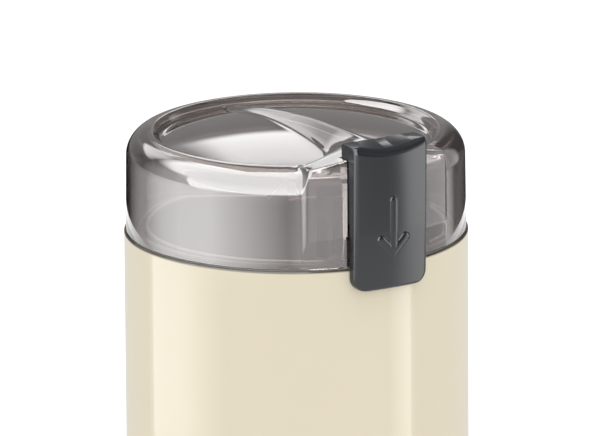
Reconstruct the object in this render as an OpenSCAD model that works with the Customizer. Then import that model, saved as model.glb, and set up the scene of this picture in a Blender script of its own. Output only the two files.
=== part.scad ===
// Blade grinder for spices and coffee. A smoky see-through lid carries the push button, and the
// motor, its switch and the steel bowl hang from a carrier inside the round housing.
// Z = 0 is the table under the feet, the body's axis is Z and the button faces -Y.

/* [Body] */
// Diameter of the round body
body_d = 88; // [86:0.5:94]
// Height of the seam under the lid, above the table
seam_h = 124; // [120:1:140]
// Thickness of the housing wall
housing_wall = 2.4; // [2:0.1:2.8]
// Radius of the housing's outer top and bottom edges
housing_edge_r = 0.8; // [0.4:0.1:1]
// Gap between the housing and the lid, seen as the seam line
seam_gap = 0.3; // [0.2:0.05:0.6]
// Gap between the housing and the table
ground_gap = 1.5; // [1:0.25:3]
// Thickness of the base plate
base_plate_h = 3; // [2.5:0.25:4]
// How deep the base plate sits in the housing
base_recess = 0.8; // [0.5:0.1:1.5]

/* [Feet and screws] */
// Radius of a rubber foot
foot_r = 5; // [4:0.5:6]
// Depth of a foot's seat in the base plate
foot_seat = 1.2; // [0.8:0.1:1.6]
// Distance of the feet from the axis
foot_ring_r = 32; // [28:0.5:33]
// Radius of a screw's shank
screw_r = 1.4; // [1:0.1:1.6]
// Radius of a screw's head
screw_head_r = 2.8; // [2.4:0.1:3]
// Height of a screw's head
screw_head_h = 1.8; // [1.2:0.1:2]
// Length of the housing screws under the head
screw_l = 12; // [8:0.5:14]
// Radius of the screw bosses in the housing
boss_r = 3.6; // [3.2:0.1:3.8]

/* [Cord inlet] */
// Height of the cord inlet above the table
inlet_h = 15; // [13:0.5:40]
// Radius of the bore that the cord passes through
inlet_bore_r = 3.3; // [2.5:0.1:3.6]
// Radius of the bush where it goes through the housing
inlet_bush_r = 5.2; // [4.6:0.1:5.6]
// Radius of the bush's outer collar
inlet_collar_r = 7; // [6.4:0.1:7.6]
// How far the collar stands out of its seat
inlet_collar_h = 2.4; // [1.5:0.1:3]
// How far the flat seat of the collar stands out of the housing
inlet_seat_h = 0.6; // [0.5:0.1:1]

/* [Lid] */
// How far the lid stands back from the body, at the seam
lid_inset = 0.47; // [0.3:0.01:0.6]
// How much the lid's wall leans in over its height
lid_draft = 0.23; // [0:0.01:0.4]
// Thickness of the lid
lid_wall = 2.2; // [1.8:0.1:2.4]
// Radius of the lid's round shoulder
shoulder_r = 6.4; // [5.5:0.1:7]
// Height of the shoulder's centre over the seam
shoulder_h = 18.8; // [18:0.1:22]
// How far the valley lies below the top of the rim
valley_drop = 1.85; // [1.2:0.05:2.2]
// Distance of the valley inside the top of the rim
valley_in = 2.7; // [2.4:0.1:3.2]
// Rise of the shallow dome above the valley
dome_rise = 3.75; // [2.5:0.05:4.5]

/* [Ridge over the lid] */
// Height of the ridge's crest over the seam, at the button
crest_h = 30.5; // [29.5:0.1:31]
// Distance in front of the axis where the crest starts to fall
crest_fall_s = 15; // [10:0.5:20]
// How quickly the crest falls toward the back
crest_fall = 0.0027; // [0.002:0.0001:0.0035]
// Half the width of the crest
crest_half = 0.7; // [0.4:0.1:1.2]
// Slope of the ridge's flanks behind the button
flank_slope = 1.15; // [0.9:0.05:1.3]
// Slope of the ridge's flanks beside the button
pad_slope = 0.45; // [0.4:0.01:0.55]
// Distance in front of the axis where the flanks start to flare
flare_start = 20; // [15:0.5:25]
// Width over which the ridge's foot is rounded
foot_blend = 1.4; // [0.8:0.1:2]

/* [Pad round the button] */
// Half the angle that the pad covers
pad_angle = 27.5; // [26:0.5:30]
// How far the pad stands back from the body
pad_inset = 0.12; // [0.05:0.01:0.2]
// Height over the seam where the pad's wall starts to round over
pad_wall_h = 20; // [19:0.1:21]
// Width of that rounding
pad_round_w = 1.45; // [1:0.05:2]
// Height over the seam where the pad reaches its full width
pad_fade_h = 6; // [4:0.5:8]

/* [Button] */
// Width of the button
button_w = 21.5; // [21:0.5:24]
// Height of the button's top over the seam
button_top_h = 31.8; // [31.3:0.1:33]
// How far the button reaches below the seam
button_drop = 6; // [4:0.5:8]
// Depth of the finger dish at the front of the button's top
dish_depth = 1.6; // [0.8:0.1:2]
// Travel of the button
button_travel = 4; // [3:0.25:4.5]
// Thickness of the button's face plate at its foot
plate_t = 1.9; // [1.2:0.1:2.2]
// How much the face leans outward from foot to top
face_lean = 0.9; // [0.5:0.1:2]
// Radius of the slightly rounded face, seen from above
face_r = 82; // [60:1:120]
// Radius of the face's upright edges
face_edge_r = 1.1; // [0.8:0.1:1.4]
// Radius of the face's bottom corners
corner_r = 3.5; // [2.5:0.1:5]
// Radius of the top edge under the finger
top_edge_r = 1.7; // [1:0.1:2.2]
// Depth of the finger pad from its back to the body's outline
finger_pad_in = 5; // [4:0.1:5]
// Height over the seam of the slot's bottom
slot_h = 7.3; // [7:0.1:8]
// Thickness of the flange behind the lid's wall
flange_t = 1.4; // [1.2:0.1:1.6]
// Half the width of that flange
flange_half = 13.2; // [12.8:0.1:13.4]
// Height of that flange's top over the seam
flange_top_h = 18; // [17.5:0.1:18.2]
// Half the width of the tongue that works the switch
tongue_half = 4.6; // [4:0.1:5]
// How far the tongue reaches below the seam
tongue_drop = 3; // [2:0.25:5]

/* [Bowl] */
// Depth of the bowl below the seam
bowl_depth = 37; // [35:0.5:38]
// Thickness of the bowl's sheet steel
bowl_t = 0.6; // [0.5:0.05:0.8]
// Radius of the bead round the bowl's rim
rim_bead_r = 0.8; // [0.8:0.05:1.1]
// Radius between the bowl's floor and its wall
bowl_corner_r = 9; // [7:0.5:10]
// Radius of the hole that the seal fills
seal_hole_r = 6; // [5.5:0.1:6.4]
// Height of the seal's lip over the bowl's floor
seal_lip_h = 1.2; // [0.8:0.1:1.6]
// Depth of the seal under the bowl's floor
seal_drop = 2; // [1.5:0.1:2.5]

/* [Carrier] */
// Thickness of the carrier's flange
carrier_flange_h = 1.8; // [1.5:0.1:2.2]
// Width of the carrier's flange over its wall
carrier_flange_w = 1.7; // [1.5:0.1:1.8]
// Thickness of the carrier's wall
carrier_wall = 1.4; // [1.2:0.1:1.5]
// Height of the neck that centres the lid
neck_h = 1; // [1:0.1:2]
// Thickness of that neck
neck_t = 1.3; // [1:0.1:1.4]
// Thickness of the carrier's floor
carrier_floor_h = 2.2; // [2:0.1:2.6]
// Free height between the bowl and the carrier's floor
carrier_gap = 3.9; // [3:0.1:5]

/* [Blade] */
// Radius of the blade's tips
blade_r = 30; // [26:0.5:32]
// Width of the blade at the hub
blade_w = 13; // [12:0.5:15]
// Width of the blade at the tips
tip_w = 8; // [6:0.5:9]
// Thickness of the blade
blade_t = 1.4; // [1:0.1:2]
// Height of the blade over the bowl's floor
blade_h = 5; // [4.5:0.25:7]
// Height by which one tip is bent up and the other one down
tip_bend = 2.2; // [1:0.1:2.5]
// Height of the blade's cap nut
nut_h = 5; // [4:0.25:6]

/* [Motor] */
// Radius of the motor's shaft
shaft_r = 2.5; // [2:0.05:2.6]
// Free height between the motor's bolts and the base plate
motor_clearance = 6; // [4:0.5:12]
// Width of the stator's sheets outside its bolts
stator_rim = 5.5; // [5:0.1:6]
// Width of the stator's sheets between its coils and its bolts
yoke_wall = 2.6; // [2:0.1:3]
// Air gap between the rotor and the stator
air_gap = 0.4; // [0.3:0.05:0.5]
// Number of slots in the rotor
rotor_slots = 12; // [8:1:14]
// Thickness of the pole shoes
pole_t = 2.2; // [1.8:0.1:2.6]
// Thickness of the coils
coil_t = 5.2; // [4.5:0.1:5.4]
// How far the windings stand out of the stack
coil_over = 5; // [4:0.25:6]
// Half the width of a pole's neck
pole_half = 7; // [6:0.5:8]
// Radius of the commutator
commutator_r = 8.5; // [8:0.1:9]
// Height of the commutator
commutator_h = 8; // [7.5:0.25:9]
// Gap between the fan and the brackets' legs
fan_gap = 4.8; // [3:0.1:6]
// Height of the fan
fan_h = 6; // [4.5:0.25:6.5]
// Number of the fan's vanes
fan_vanes = 9; // [7:1:11]
// Thickness of the bearing brackets
bracket_h = 3; // [2.5:0.25:3.5]
// How far the brackets reach past their legs
bracket_rim = 0.4; // [0.2:0.1:0.8]
// Radius of the motor's bolts
bolt_r = 1.6; // [1.4:0.1:2]
// Radius of the brackets' legs
leg_r = 3.8; // [3.4:0.1:4]
// Outer radius of the bearing bushes
bearing_r = 5; // [4.4:0.1:5.4]
// Height of the bearing bushes
bearing_h = 6; // [5:0.25:6.5]
// Thickness of the rubber mounts
mount_h = 3; // [2:0.25:4]
// Radius of the rubber mounts
mount_r = 4.4; // [3.8:0.1:4.6]

/* [Brushes] */
// Width and height of a carbon brush
brush_w = 5.6; // [4.5:0.1:6]
// Length of a carbon brush
brush_l = 9; // [8:0.5:10]
// Length of a brush holder
holder_l = 14.5; // [14:0.5:16]
// Wall of a brush holder
holder_wall = 1.6; // [1.2:0.1:1.8]
// Radius of a brush spring, at the wire's centre
brush_spring_r = 1.9; // [1.6:0.1:2.2]
// Radius of its wire
brush_wire_r = 0.25; // [0.2:0.05:0.3]

/* [Switch] */
// Depth of the switch toward the motor
switch_depth = 12; // [11.5:0.1:12.5]
// Gap between the switch and the motor's brackets
switch_gap = 3.9; // [2:0.1:4.5]
// Half the width of the switch base
switch_half = 16; // [15.5:0.5:17]
// Height of the switch base under the carrier
switch_h = 20; // [19:0.5:22]
// Thickness of the switch base's walls
switch_wall = 1.5; // [1.2:0.1:1.8]
// Arm of the contact leaf from its root to the plunger
leaf_arm = 13; // [12.5:0.25:13.5]
// Length of the contact leaf beyond the plunger
leaf_tip = 7; // [6:0.25:8]
// Width of the contact leaf
leaf_w = 4; // [3:0.25:4.5]
// Thickness of the contact leaf
leaf_t = 0.4; // [0.3:0.05:0.6]

/* [Springs and leads] */
// Radius of the wire of the button's and the plunger's spring
spring_wire_r = 0.3; // [0.25:0.05:0.4]
// Radius of those springs, at the wire's centre
spring_r = 1.6; // [1.4:0.1:1.8]
// Number of turns of those springs
spring_turns = 6; // [4:1:6]
// Radius of the insulated leads
lead_r = 0.9; // [0.6:0.1:1.2]
// Width of the capacitor across its lead side
capacitor_w = 16; // [12:0.5:18]
// Thickness of the capacitor
capacitor_t = 8; // [6:0.5:9]
// Height of the capacitor
capacitor_h = 13; // [10:0.5:14]

/* [Fits] */
// Clearance between pieces that slide or that are assembled loosely
slip = 0.3; // [0.25:0.05:0.35]
// Clearance between the shaft and its bearing bushes
running_fit = 0.04; // [0.02:0.01:0.08]
// Clearance between the shaft and the seal, and between brush and commutator
rubbing_gap = 0.1; // [0.05:0.01:0.15]

/* [Hidden] */
$fn = 96;
over = 1; // how far a cutting solid passes the face it cuts

body_r = body_d / 2;
housing_r = body_r - housing_wall;
housing_top = seam_h - seam_gap;
inlet_out_y = body_r + inlet_seat_h;
inlet_in_y = housing_r - 1.2;

// The lid over the seam, and what fits inside its bore.
lid_r = body_r - lid_inset;
lid_top_r = lid_r - lid_draft;
lid_bore_r = lid_r - lid_wall;
shoulder_ring_r = lid_top_r - shoulder_r;
rim_h = shoulder_h + shoulder_r;
valley_r = shoulder_ring_r - valley_in;
valley_h = rim_h - valley_drop;
dome_h = valley_h + dome_rise;
pad_r = body_r - pad_inset;
flange_r = lid_bore_r - slip;
tongue_in_r = flange_r - flange_t;
neck_r = lid_bore_r - slip;

// The button runs in the lid's slot and over the body's outside.
button_half = button_w / 2;
button_back = body_r - finger_pad_in;
slot_half = button_half + slip;
plate_back_r = body_r + slip;

// The bowl fills the room inside the tongue.
rim_r = tongue_in_r - 2 * slip;
bowl_r = rim_r - 2 * rim_bead_r;
bowl_out_r = bowl_r + bowl_t;
bowl_floor_z = seam_h - bowl_depth;
bowl_under_z = bowl_floor_z - bowl_t;

// The carrier hangs in the housing and holds the motor by its floor.
carrier_r = housing_r - slip / 2;
carrier_in_r = carrier_r - carrier_wall;
carrier_flange_r = carrier_r + carrier_flange_w;
carrier_bore_r = bowl_out_r + slip;
floor_top_z = bowl_under_z - carrier_gap;
floor_z = floor_top_z - carrier_floor_h;
bearing_wall = 2.4;
carrier_hole_r = bearing_r + bearing_wall + 2 * slip;
carrier_boss_r = carrier_hole_r + carrier_floor_h;

// The base plate closes the housing from below.
plate_z = ground_gap + base_recess;
plate_top_z = plate_z + base_plate_h;
plate_r = housing_r - slip;
boss_ring_r = housing_r - boss_r - 1;
carrier_boss_angles = [90, 210, 330];
base_boss_angles = [30, 150, 270];

// The motor's upper end hangs under the carrier's floor.
bracket_z = floor_z - mount_h - bracket_h;
fan_z = bracket_z - 2 - fan_h;
stack_top_z = fan_z - 1.5 - coil_over;
upper_bearing_z = bracket_z + bracket_h - bearing_h / 2 - 1;

// Its lower end stays clear of the base plate, and the stack fills the height between.
bolt_head_h = 2;
lower_z = plate_top_z + motor_clearance + bolt_head_h;
lower_top_z = lower_z + bracket_h;
lower_bearing_z = lower_z - 1.5;
commutator_z = lower_top_z + 3.5;
coil_z = commutator_z + commutator_h + 1;
stack_z = coil_z + coil_over;
stack_h = stack_top_z - stack_z;
shaft_z = lower_bearing_z + slip;

// In plan the motor fills the room behind the switch, from the brackets in to the rotor.
switch_back = tongue_in_r - switch_depth;
bracket_half = switch_back - switch_gap;
bolt_xy = bracket_half - leg_r - bracket_rim;
bolt_ring_r = bolt_xy * sqrt(2);
bracket_corner_r = bolt_ring_r + leg_r + bracket_rim;
air_hole_r = 4.6;
mount_ring_r = bracket_half - mount_r - slip;
fan_r = bolt_ring_r - leg_r - fan_gap;
stator_half = bolt_xy + stator_rim;
stator_corner_r = bolt_ring_r + stator_rim - 0.6;
yoke_r = bolt_ring_r - bolt_r - yoke_wall;
coil_in_r = yoke_r - coil_t - slip;
pole_r = coil_in_r - slip;
stator_bore_r = pole_r - pole_t;
rotor_r = stator_bore_r - air_gap;
rotor_hub_share = 0.32; // of the core's depth over the shaft, solid under the slots
rotor_slot_in_r = shaft_r + rotor_hub_share * (rotor_r - shaft_r);
rotor_slot_share = 0.654; // of the pitch at the slots' floor, the rest is teeth
rotor_slot_half = rotor_slot_share * rotor_slot_in_r * sin(180 / rotor_slots);
rotor_slot_lip = 1.6;

// The brushes rub on the middle of the commutator.
brush_z = commutator_z + (commutator_h - 1.2) / 2;
brush_in = commutator_r + rubbing_gap;
holder_in = commutator_r + 1.6;
holder_half = brush_w / 2 + holder_wall;

// The blade sits on the shaft's collar, over the bowl's floor.
blade_z = bowl_floor_z + blade_h;
collar_r = shaft_r + 2;
collar_h = 3;
nut_r = 4.2;

// The switch hangs under the carrier, in front of the motor.
switch_z = floor_z - switch_h;
plunger_top_z = seam_h - tongue_drop - slip;
plunger_foot_t = 2;
plunger_foot_z = floor_z - 4 * slip - plunger_foot_t - 3;
nose_h = 2;
nose_s = switch_back + switch_wall + slip + leaf_w / 2;
leaf_top_z = plunger_foot_z - nose_h - slip;
leaf_root_x = -leaf_arm;
contact_x = leaf_tip - 2;
leaf_drop = (leaf_arm + leaf_tip) * sin(button_travel / leaf_arm * 180 / PI);
contact_h = leaf_top_z - leaf_t - leaf_drop - slip;
spring_s = tongue_in_r - spring_r - 2 * spring_wire_r - 2 * slip;
plunger_spring_h = 2 * button_travel + 2;

capacitor_x = housing_r - 3.5;

// The button's spring stands on the floor of the guide.
guide_z = seam_h + 3 * slip + neck_h + 0.1;
guide_wall = 1.2;
guide_half = flange_half + slip;
guide_back = spring_s - spring_r - spring_wire_r - slip - guide_wall;
guide_top_z = seam_h + valley_h - lid_wall - 2 * slip;
arm_t = 1.5;
arm_z = seam_h + flange_top_h - arm_t;

// A point in plan at a distance r from the axis and an angle from the front.
function plan(r, a) = [r * sin(a), -r * cos(a)];

// 0 below 0, 1 above 1, and a smooth rise between them.
function smooth(t) = let(u = min(1, max(0, t))) u * u * (3 - 2 * u);

// The larger of two heights, with the corner between them rounded over the width k.
function soft_max(a, b, k) = max(a, b) + pow(max(0, k - abs(a - b)), 2) / (4 * k);

function arc(c, r, a0, a1, n) = [
  for (i = [0:n]) let(a = a0 + (a1 - a0) * i / n) c + r * [cos(a), sin(a)]
];

function unit(v) = v / norm(v);

// One ring of a tube round the path's point i.
function tube_ring(path, i, r, sides, side_hint) =
  let(
    a = path[max(0, i - 1)],
    b = path[min(len(path) - 1, i + 1)],
    along = unit(b - a),
    u = unit(cross(along, side_hint)),
    v = cross(u, along)
  )
  [for (k = [0:sides - 1]) path[i] + r * (cos(360 * k / sides) * u + sin(360 * k / sides) * v)];

module tube(path, r, sides, side_hint) {
  n = len(path);
  points = [for (i = [0:n - 1]) each tube_ring(path, i, r, sides, side_hint)];
  walls = [
    for (i = [0:n - 2], k = [0:sides - 1])
      let(a = i * sides + k, b = i * sides + (k + 1) % sides)
      each [[a, b, b + sides], [a, b + sides, a + sides]]
  ];
  start = [for (k = [sides - 1:-1:0]) k];
  end = [for (k = [0:sides - 1]) (n - 1) * sides + k];
  polyhedron(points, concat(walls, [start, end]));
}

// A compression spring from z = 0 up to the height h, with the wire inside that height.
module coil_spring(r, wire_r, turns, h, steps = 14) {
  rise = h - 2 * wire_r;
  path = [
    for (i = [0:turns * steps])
      let(t = i / (turns * steps), a = 360 * turns * t)
      [r * cos(a), r * sin(a), wire_r + rise * t]
  ];
  tube(path, wire_r, 6, [0, 0, 1]);
}

// The part of a ring that lies in front, up to the distance half on each side of the middle.
module front_ring(r0, r1, half, z0, z1) {
  intersection() {
    translate([0, 0, z0])
      difference() {
        cylinder(r = r1, h = z1 - z0);
        translate([0, 0, -over])
          cylinder(r = r0, h = z1 - z0 + 2 * over);
      }
    front_box(half, 0, r1 + over, z0, z1);
  }
}

// A box in front of the axis, from the distance s0 to s1.
module front_box(half, s0, s1, z0, z1) {
  translate([-half, -s1, z0])
    cube([2 * half, s1 - s0, z1 - z0]);
}

module screw(length) {
  translate([0, 0, -length])
    cylinder(r = screw_r, h = length);
  difference() {
    cylinder(r = screw_head_r, h = screw_head_h);
    translate([0, 0, screw_head_h / 2])
      cylinder(r = 1.2, h = screw_head_h, $fn = 6);
  }
}

module at_angles(angles, r) {
  for (a = angles)
    rotate([0, 0, a])
      translate([r, 0, 0])
        children();
}

// ---- Body ----

module housing() {
  color("#e9e0c8")
    difference() {
      union() {
        rotate_extrude()
          polygon(concat(
            [[housing_r, ground_gap]],
            arc([body_r - housing_edge_r, ground_gap + housing_edge_r], housing_edge_r, -90, 0, 6),
            arc([body_r - housing_edge_r, housing_top - housing_edge_r], housing_edge_r, 0, 90, 6),
            [
              [carrier_flange_r + slip / 2, housing_top],
              [carrier_flange_r + slip / 2, seam_h - carrier_flange_h - slip / 2],
              [housing_r, seam_h - carrier_flange_h - slip / 2]
            ]
          ));
        at_angles(carrier_boss_angles, boss_ring_r)
          screw_boss(floor_z - screw_l - 2, floor_z);
        at_angles(base_boss_angles, boss_ring_r)
          screw_boss(plate_top_z, plate_top_z + screw_l);
        inlet_seat();
      }
      at_angles(carrier_boss_angles, boss_ring_r)
        translate([0, 0, floor_z - screw_l])
          cylinder(r = screw_r, h = screw_l + over);
      at_angles(base_boss_angles, boss_ring_r)
        translate([0, 0, plate_top_z - over])
          cylinder(r = screw_r, h = screw_l - 2 + over);
      translate([0, housing_r - 3, inlet_h])
        rotate([-90, 0, 0])
          cylinder(r = inlet_bush_r, h = housing_wall + 6);
    }
}

// A screw boss with the rib that joins it to the housing's wall.
module screw_boss(z0, z1) {
  translate([0, 0, z0])
    cylinder(r = boss_r, h = z1 - z0);
  translate([0, -1, z0])
    cube([housing_r + housing_wall / 2 - boss_ring_r, 2, z1 - z0]);
}

// The flat round seat of the cord bush, on both sides of the wall.
module inlet_seat() {
  translate([0, inlet_in_y, inlet_h])
    rotate([-90, 0, 0])
      cylinder(r = inlet_collar_r + 0.8, h = inlet_out_y - inlet_in_y);
}

module cord_gland() {
  color("#3c3f42")
    translate([0, 0, inlet_h])
      rotate([-90, 0, 0])
        rotate_extrude()
          polygon(concat(
            [
              [inlet_bore_r, inlet_in_y - 1.6],
              [inlet_bush_r + 0.8, inlet_in_y - 1.6],
              [inlet_bush_r + 0.8, inlet_in_y],
              [inlet_bush_r, inlet_in_y],
              [inlet_bush_r, inlet_out_y],
              [inlet_collar_r, inlet_out_y]
            ],
            arc([inlet_collar_r - 1.2, inlet_out_y + inlet_collar_h - 1.2], 1.2, 0, 90, 6),
            [[inlet_bore_r, inlet_out_y + inlet_collar_h]]
          ));
}

module base_plate() {
  color("#43464a")
    difference() {
      union() {
        translate([0, 0, plate_z])
          cylinder(r = plate_r, h = base_plate_h);
        at_angles([45, 135, 225, 315], foot_ring_r)
          translate([0, 0, plate_z])
            cylinder(r = foot_r + 1.4, h = base_plate_h + 1);
      }
      at_angles([45, 135, 225, 315], foot_ring_r)
        translate([0, 0, plate_z - over])
          cylinder(r = foot_r, h = foot_seat + over);
      at_angles(base_boss_angles, boss_ring_r) {
        translate([0, 0, plate_z - over])
          cylinder(r = screw_r + 0.2, h = base_plate_h + 2 * over);
        translate([0, 0, plate_z - over])
          cylinder(r = screw_head_r + 0.2, h = screw_head_h + 0.2 + over);
      }
      for (i = [-4:4])
        translate([i * 4.5 - 1, -vent_half(i), plate_z - over])
          cube([2, 2 * vent_half(i), base_plate_h + 2 * over]);
    }
}

// Half the length of a vent slot, which shortens away from the middle.
function vent_half(i) = sqrt(pow(22, 2) - pow(i * 4.5, 2));

module rubber_feet() {
  color("#2f3133")
    at_angles([45, 135, 225, 315], foot_ring_r)
      rotate_extrude()
        polygon(concat(
          [[0, 0]],
          arc([foot_r - 1, 1], 1, -90, 0, 4),
          [[foot_r, plate_z + foot_seat], [0, plate_z + foot_seat]]
        ));
}

module base_screws() {
  color("#b9bcbf")
    at_angles(base_boss_angles, boss_ring_r)
      translate([0, 0, plate_z + screw_head_h + 0.2])
        rotate([180, 0, 0])
          screw(screw_l - 3 + base_plate_h - screw_head_h);
}

// ---- Carrier and bowl ----

module bowl_carrier() {
  color("#9e9b96")
    difference() {
      rotate_extrude()
        polygon([
          [carrier_bore_r, seam_h],
          [carrier_bore_r, seam_h - carrier_flange_h],
          [carrier_in_r, seam_h - carrier_flange_h],
          [carrier_in_r, floor_top_z],
          [carrier_boss_r, floor_top_z],
          [carrier_boss_r, bowl_under_z],
          [carrier_hole_r, bowl_under_z],
          [carrier_hole_r, floor_z],
          [carrier_r, floor_z],
          [carrier_r, seam_h - carrier_flange_h],
          [carrier_flange_r, seam_h - carrier_flange_h],
          [carrier_flange_r, seam_h],
          [neck_r, seam_h],
          [neck_r, seam_h + neck_h],
          [neck_r - neck_t, seam_h + neck_h],
          [neck_r - neck_t, seam_h]
        ]);
      // the way of the tongue and the plunger
      front_ring(
        tongue_in_r - slip, carrier_r + slip / 2, tongue_half + slip, floor_z - over, seam_h + neck_h + over
      );
      at_angles(carrier_boss_angles, boss_ring_r)
        translate([0, 0, floor_z - over])
          cylinder(r = screw_r + 0.2, h = carrier_floor_h + 2 * over);
      at_angles([0, 90, 180, 270], mount_ring_r)
        translate([0, 0, floor_z - over])
          cylinder(r = screw_r + 0.2, h = carrier_floor_h + 2 * over);
    }
}

module carrier_screws() {
  color("#b9bcbf")
    at_angles(carrier_boss_angles, boss_ring_r)
      translate([0, 0, floor_top_z])
        screw(carrier_floor_h + screw_l - 2);
}

module grinding_bowl() {
  corner = [bowl_r - bowl_corner_r, bowl_floor_z + bowl_corner_r];
  color("#c9cbcd")
    rotate_extrude()
      polygon(concat(
        [[seal_hole_r, bowl_floor_z]],
        arc(corner, bowl_corner_r, -90, 0, 10),
        arc([bowl_r + rim_bead_r, seam_h + rim_bead_r], rim_bead_r, 180, -90, 15),
        [[bowl_out_r, seam_h]],
        arc(corner, bowl_corner_r + bowl_t, 0, -90, 10),
        [[seal_hole_r, bowl_under_z]]
      ));
}

module bowl_seal() {
  hole_r = shaft_r + rubbing_gap;
  color("#2b2c2e")
    rotate_extrude()
      polygon([
        [hole_r, bowl_floor_z + seal_lip_h],
        [hole_r, bowl_under_z - seal_drop],
        [seal_hole_r + seal_drop / 2, bowl_under_z - seal_drop],
        [seal_hole_r + seal_drop / 2, bowl_under_z],
        [seal_hole_r, bowl_under_z],
        [seal_hole_r, bowl_floor_z],
        [seal_hole_r + seal_drop, bowl_floor_z],
        [seal_hole_r + seal_drop - seal_lip_h, bowl_floor_z + seal_lip_h]
      ]);
}

// ---- Blade and rotor ----

module blade() {
  bend_x = blade_r - 9;
  color("#d3d5d7")
    translate([0, 0, blade_z])
      difference() {
        intersection() {
          // the plan of the blade, one cutting edge ahead on each arm
          translate([0, 0, -tip_bend - over])
            linear_extrude(2 * tip_bend + blade_t + 2 * over)
              polygon([
                [blade_r, -tip_w / 2],
                [blade_r - 2, tip_w / 2],
                [10, blade_w / 2],
                [-blade_w / 2, blade_w / 2],
                [-blade_r, tip_w / 2],
                [2 - blade_r, -tip_w / 2],
                [-10, -blade_w / 2],
                [blade_w / 2, -blade_w / 2]
              ]);
          // its side view: one tip bent up and the other one down
          translate([0, blade_w, 0])
            rotate([90, 0, 0])
              linear_extrude(2 * blade_w)
                polygon([
                  [-blade_r - over, -tip_bend],
                  [-bend_x, 0],
                  [bend_x, 0],
                  [blade_r + over, tip_bend],
                  [blade_r + over, tip_bend + blade_t],
                  [bend_x, blade_t],
                  [-bend_x, blade_t],
                  [-blade_r - over, blade_t - tip_bend]
                ]);
        }
        translate([0, 0, -over])
          cylinder(r = shaft_r, h = blade_t + 2 * over);
        for (turn = [0, 180])
          rotate([0, 0, turn])
            ground_edge();
      }
}

// The bevel ground along an arm's leading edge.
module ground_edge() {
  angle = atan2(blade_w / 2 - tip_w / 2, blade_r - 12);
  translate([10, blade_w / 2, blade_t])
    rotate([0, 0, -angle])
      rotate([-28, 0, 0])
        translate([1, -2.4, 0])
          cube([blade_r + 4, 8, 6]);
}

module blade_nut() {
  color("#b9bcbf")
    translate([0, 0, blade_z + blade_t])
      difference() {
        union() {
          cylinder(r = nut_r + 0.8, h = 1);
          cylinder(r = nut_r, h = nut_h - 1.5, $fn = 6);
          translate([0, 0, nut_h - 1.5])
            cylinder(r1 = nut_r * cos(30), r2 = 1.8, h = 1.5);
        }
        translate([0, 0, -over])
          cylinder(r = shaft_r, h = nut_h - 1.8 + over);
      }
}

module motor_shaft() {
  color("#a7aaad") {
    translate([0, 0, shaft_z])
      cylinder(r = shaft_r, h = blade_z + blade_t + nut_h - 2.2 - shaft_z);
    translate([0, 0, blade_z - collar_h])
      cylinder(r = collar_r, h = collar_h);
  }
}

module rotor_core() {
  color("#777b7f")
    translate([0, 0, stack_z])
      difference() {
        cylinder(r = rotor_r, h = stack_h);
        translate([0, 0, -over])
          cylinder(r = shaft_r, h = stack_h + 2 * over);
        for (i = [1:rotor_slots])
          rotate([0, 0, 360 * i / rotor_slots]) {
            translate([rotor_slot_in_r, -rotor_slot_half, -over])
              cube([rotor_r - rotor_slot_lip - rotor_slot_in_r, 2 * rotor_slot_half, stack_h + 2 * over]);
            translate([rotor_r - rotor_slot_lip - 0.1, -0.4, -over])
              cube([rotor_slot_lip + over, 0.8, stack_h + 2 * over]);
          }
      }
}

// The wires in the slots and the two heads where they turn over.
module rotor_windings() {
  head_in = rotor_slot_in_r - 1;
  head_out = rotor_r - rotor_slot_lip;
  head_w = head_out - head_in;
  head_h = coil_over - 0.6;
  head = [
    [head_in, 0],
    [head_out, 0],
    [head_out, head_h * 0.6],
    [head_out - head_w * 0.2, head_h],
    [head_in + head_w * 0.12, head_h],
    [head_in, head_h * 0.8]
  ];
  color("#a8622f") {
    translate([0, 0, stack_top_z])
      rotate_extrude()
        polygon(head);
    translate([0, 0, stack_z])
      mirror([0, 0, 1])
        rotate_extrude()
          polygon(head);
    for (i = [1:rotor_slots])
      rotate([0, 0, 360 * i / rotor_slots])
        translate([rotor_slot_in_r, -rotor_slot_half, stack_z])
          cube([rotor_r - rotor_slot_lip - rotor_slot_in_r, 2 * rotor_slot_half, stack_h]);
  }
}

module commutator() {
  color("#b87a3c")
    translate([0, 0, commutator_z])
      difference() {
        union() {
          cylinder(r = commutator_r, h = commutator_h);
          translate([0, 0, commutator_h - 1.2])
            cylinder(r = commutator_r + 1.2, h = 1.2);
        }
        translate([0, 0, -over])
          cylinder(r = shaft_r, h = commutator_h + 2 * over);
        for (i = [1:rotor_slots])
          rotate([0, 0, 360 * (i + 0.5) / rotor_slots])
            translate([commutator_r - 0.8, -0.25, -over])
              cube([4, 0.5, commutator_h + 2 * over]);
      }
}

module cooling_fan() {
  color("#e4e2dc")
    translate([0, 0, fan_z])
      difference() {
        union() {
          cylinder(r = fan_r, h = 1.2);
          cylinder(r = shaft_r + 2.5, h = fan_h);
          for (i = [1:fan_vanes])
            rotate([0, 0, 360 * i / fan_vanes])
              translate([shaft_r + 4, -0.6, 0])
                rotate([0, 0, 12])
                  cube([fan_r - shaft_r - 5.5, 1.2, fan_h]);
        }
        translate([0, 0, -over])
          cylinder(r = shaft_r, h = fan_h + 2 * over);
      }
}

// ---- Stator and brackets ----

module stator_core() {
  color("#6d7175")
    translate([0, 0, stack_z])
      difference() {
        intersection() {
          translate([-stator_half, -stator_half, 0])
            cube([2 * stator_half, 2 * stator_half, stack_h]);
          cylinder(r = stator_corner_r, h = stack_h);
        }
        translate([0, 0, -over])
          cylinder(r = stator_bore_r, h = stack_h + 2 * over);
        for (side = [0, 180])
          rotate([0, 0, side])
            coil_window();
        for (side = [90, 270])
          rotate([0, 0, side])
            translate([-yoke_r * sin(20), -yoke_r * cos(20), -over])
              cube([2 * yoke_r * sin(20), yoke_r * cos(20), stack_h + 2 * over]);
        for (x = [-bolt_xy, bolt_xy], y = [-bolt_xy, bolt_xy])
          translate([x, y, -over])
            cylinder(r = bolt_r, h = stack_h + 2 * over);
      }
}

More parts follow.
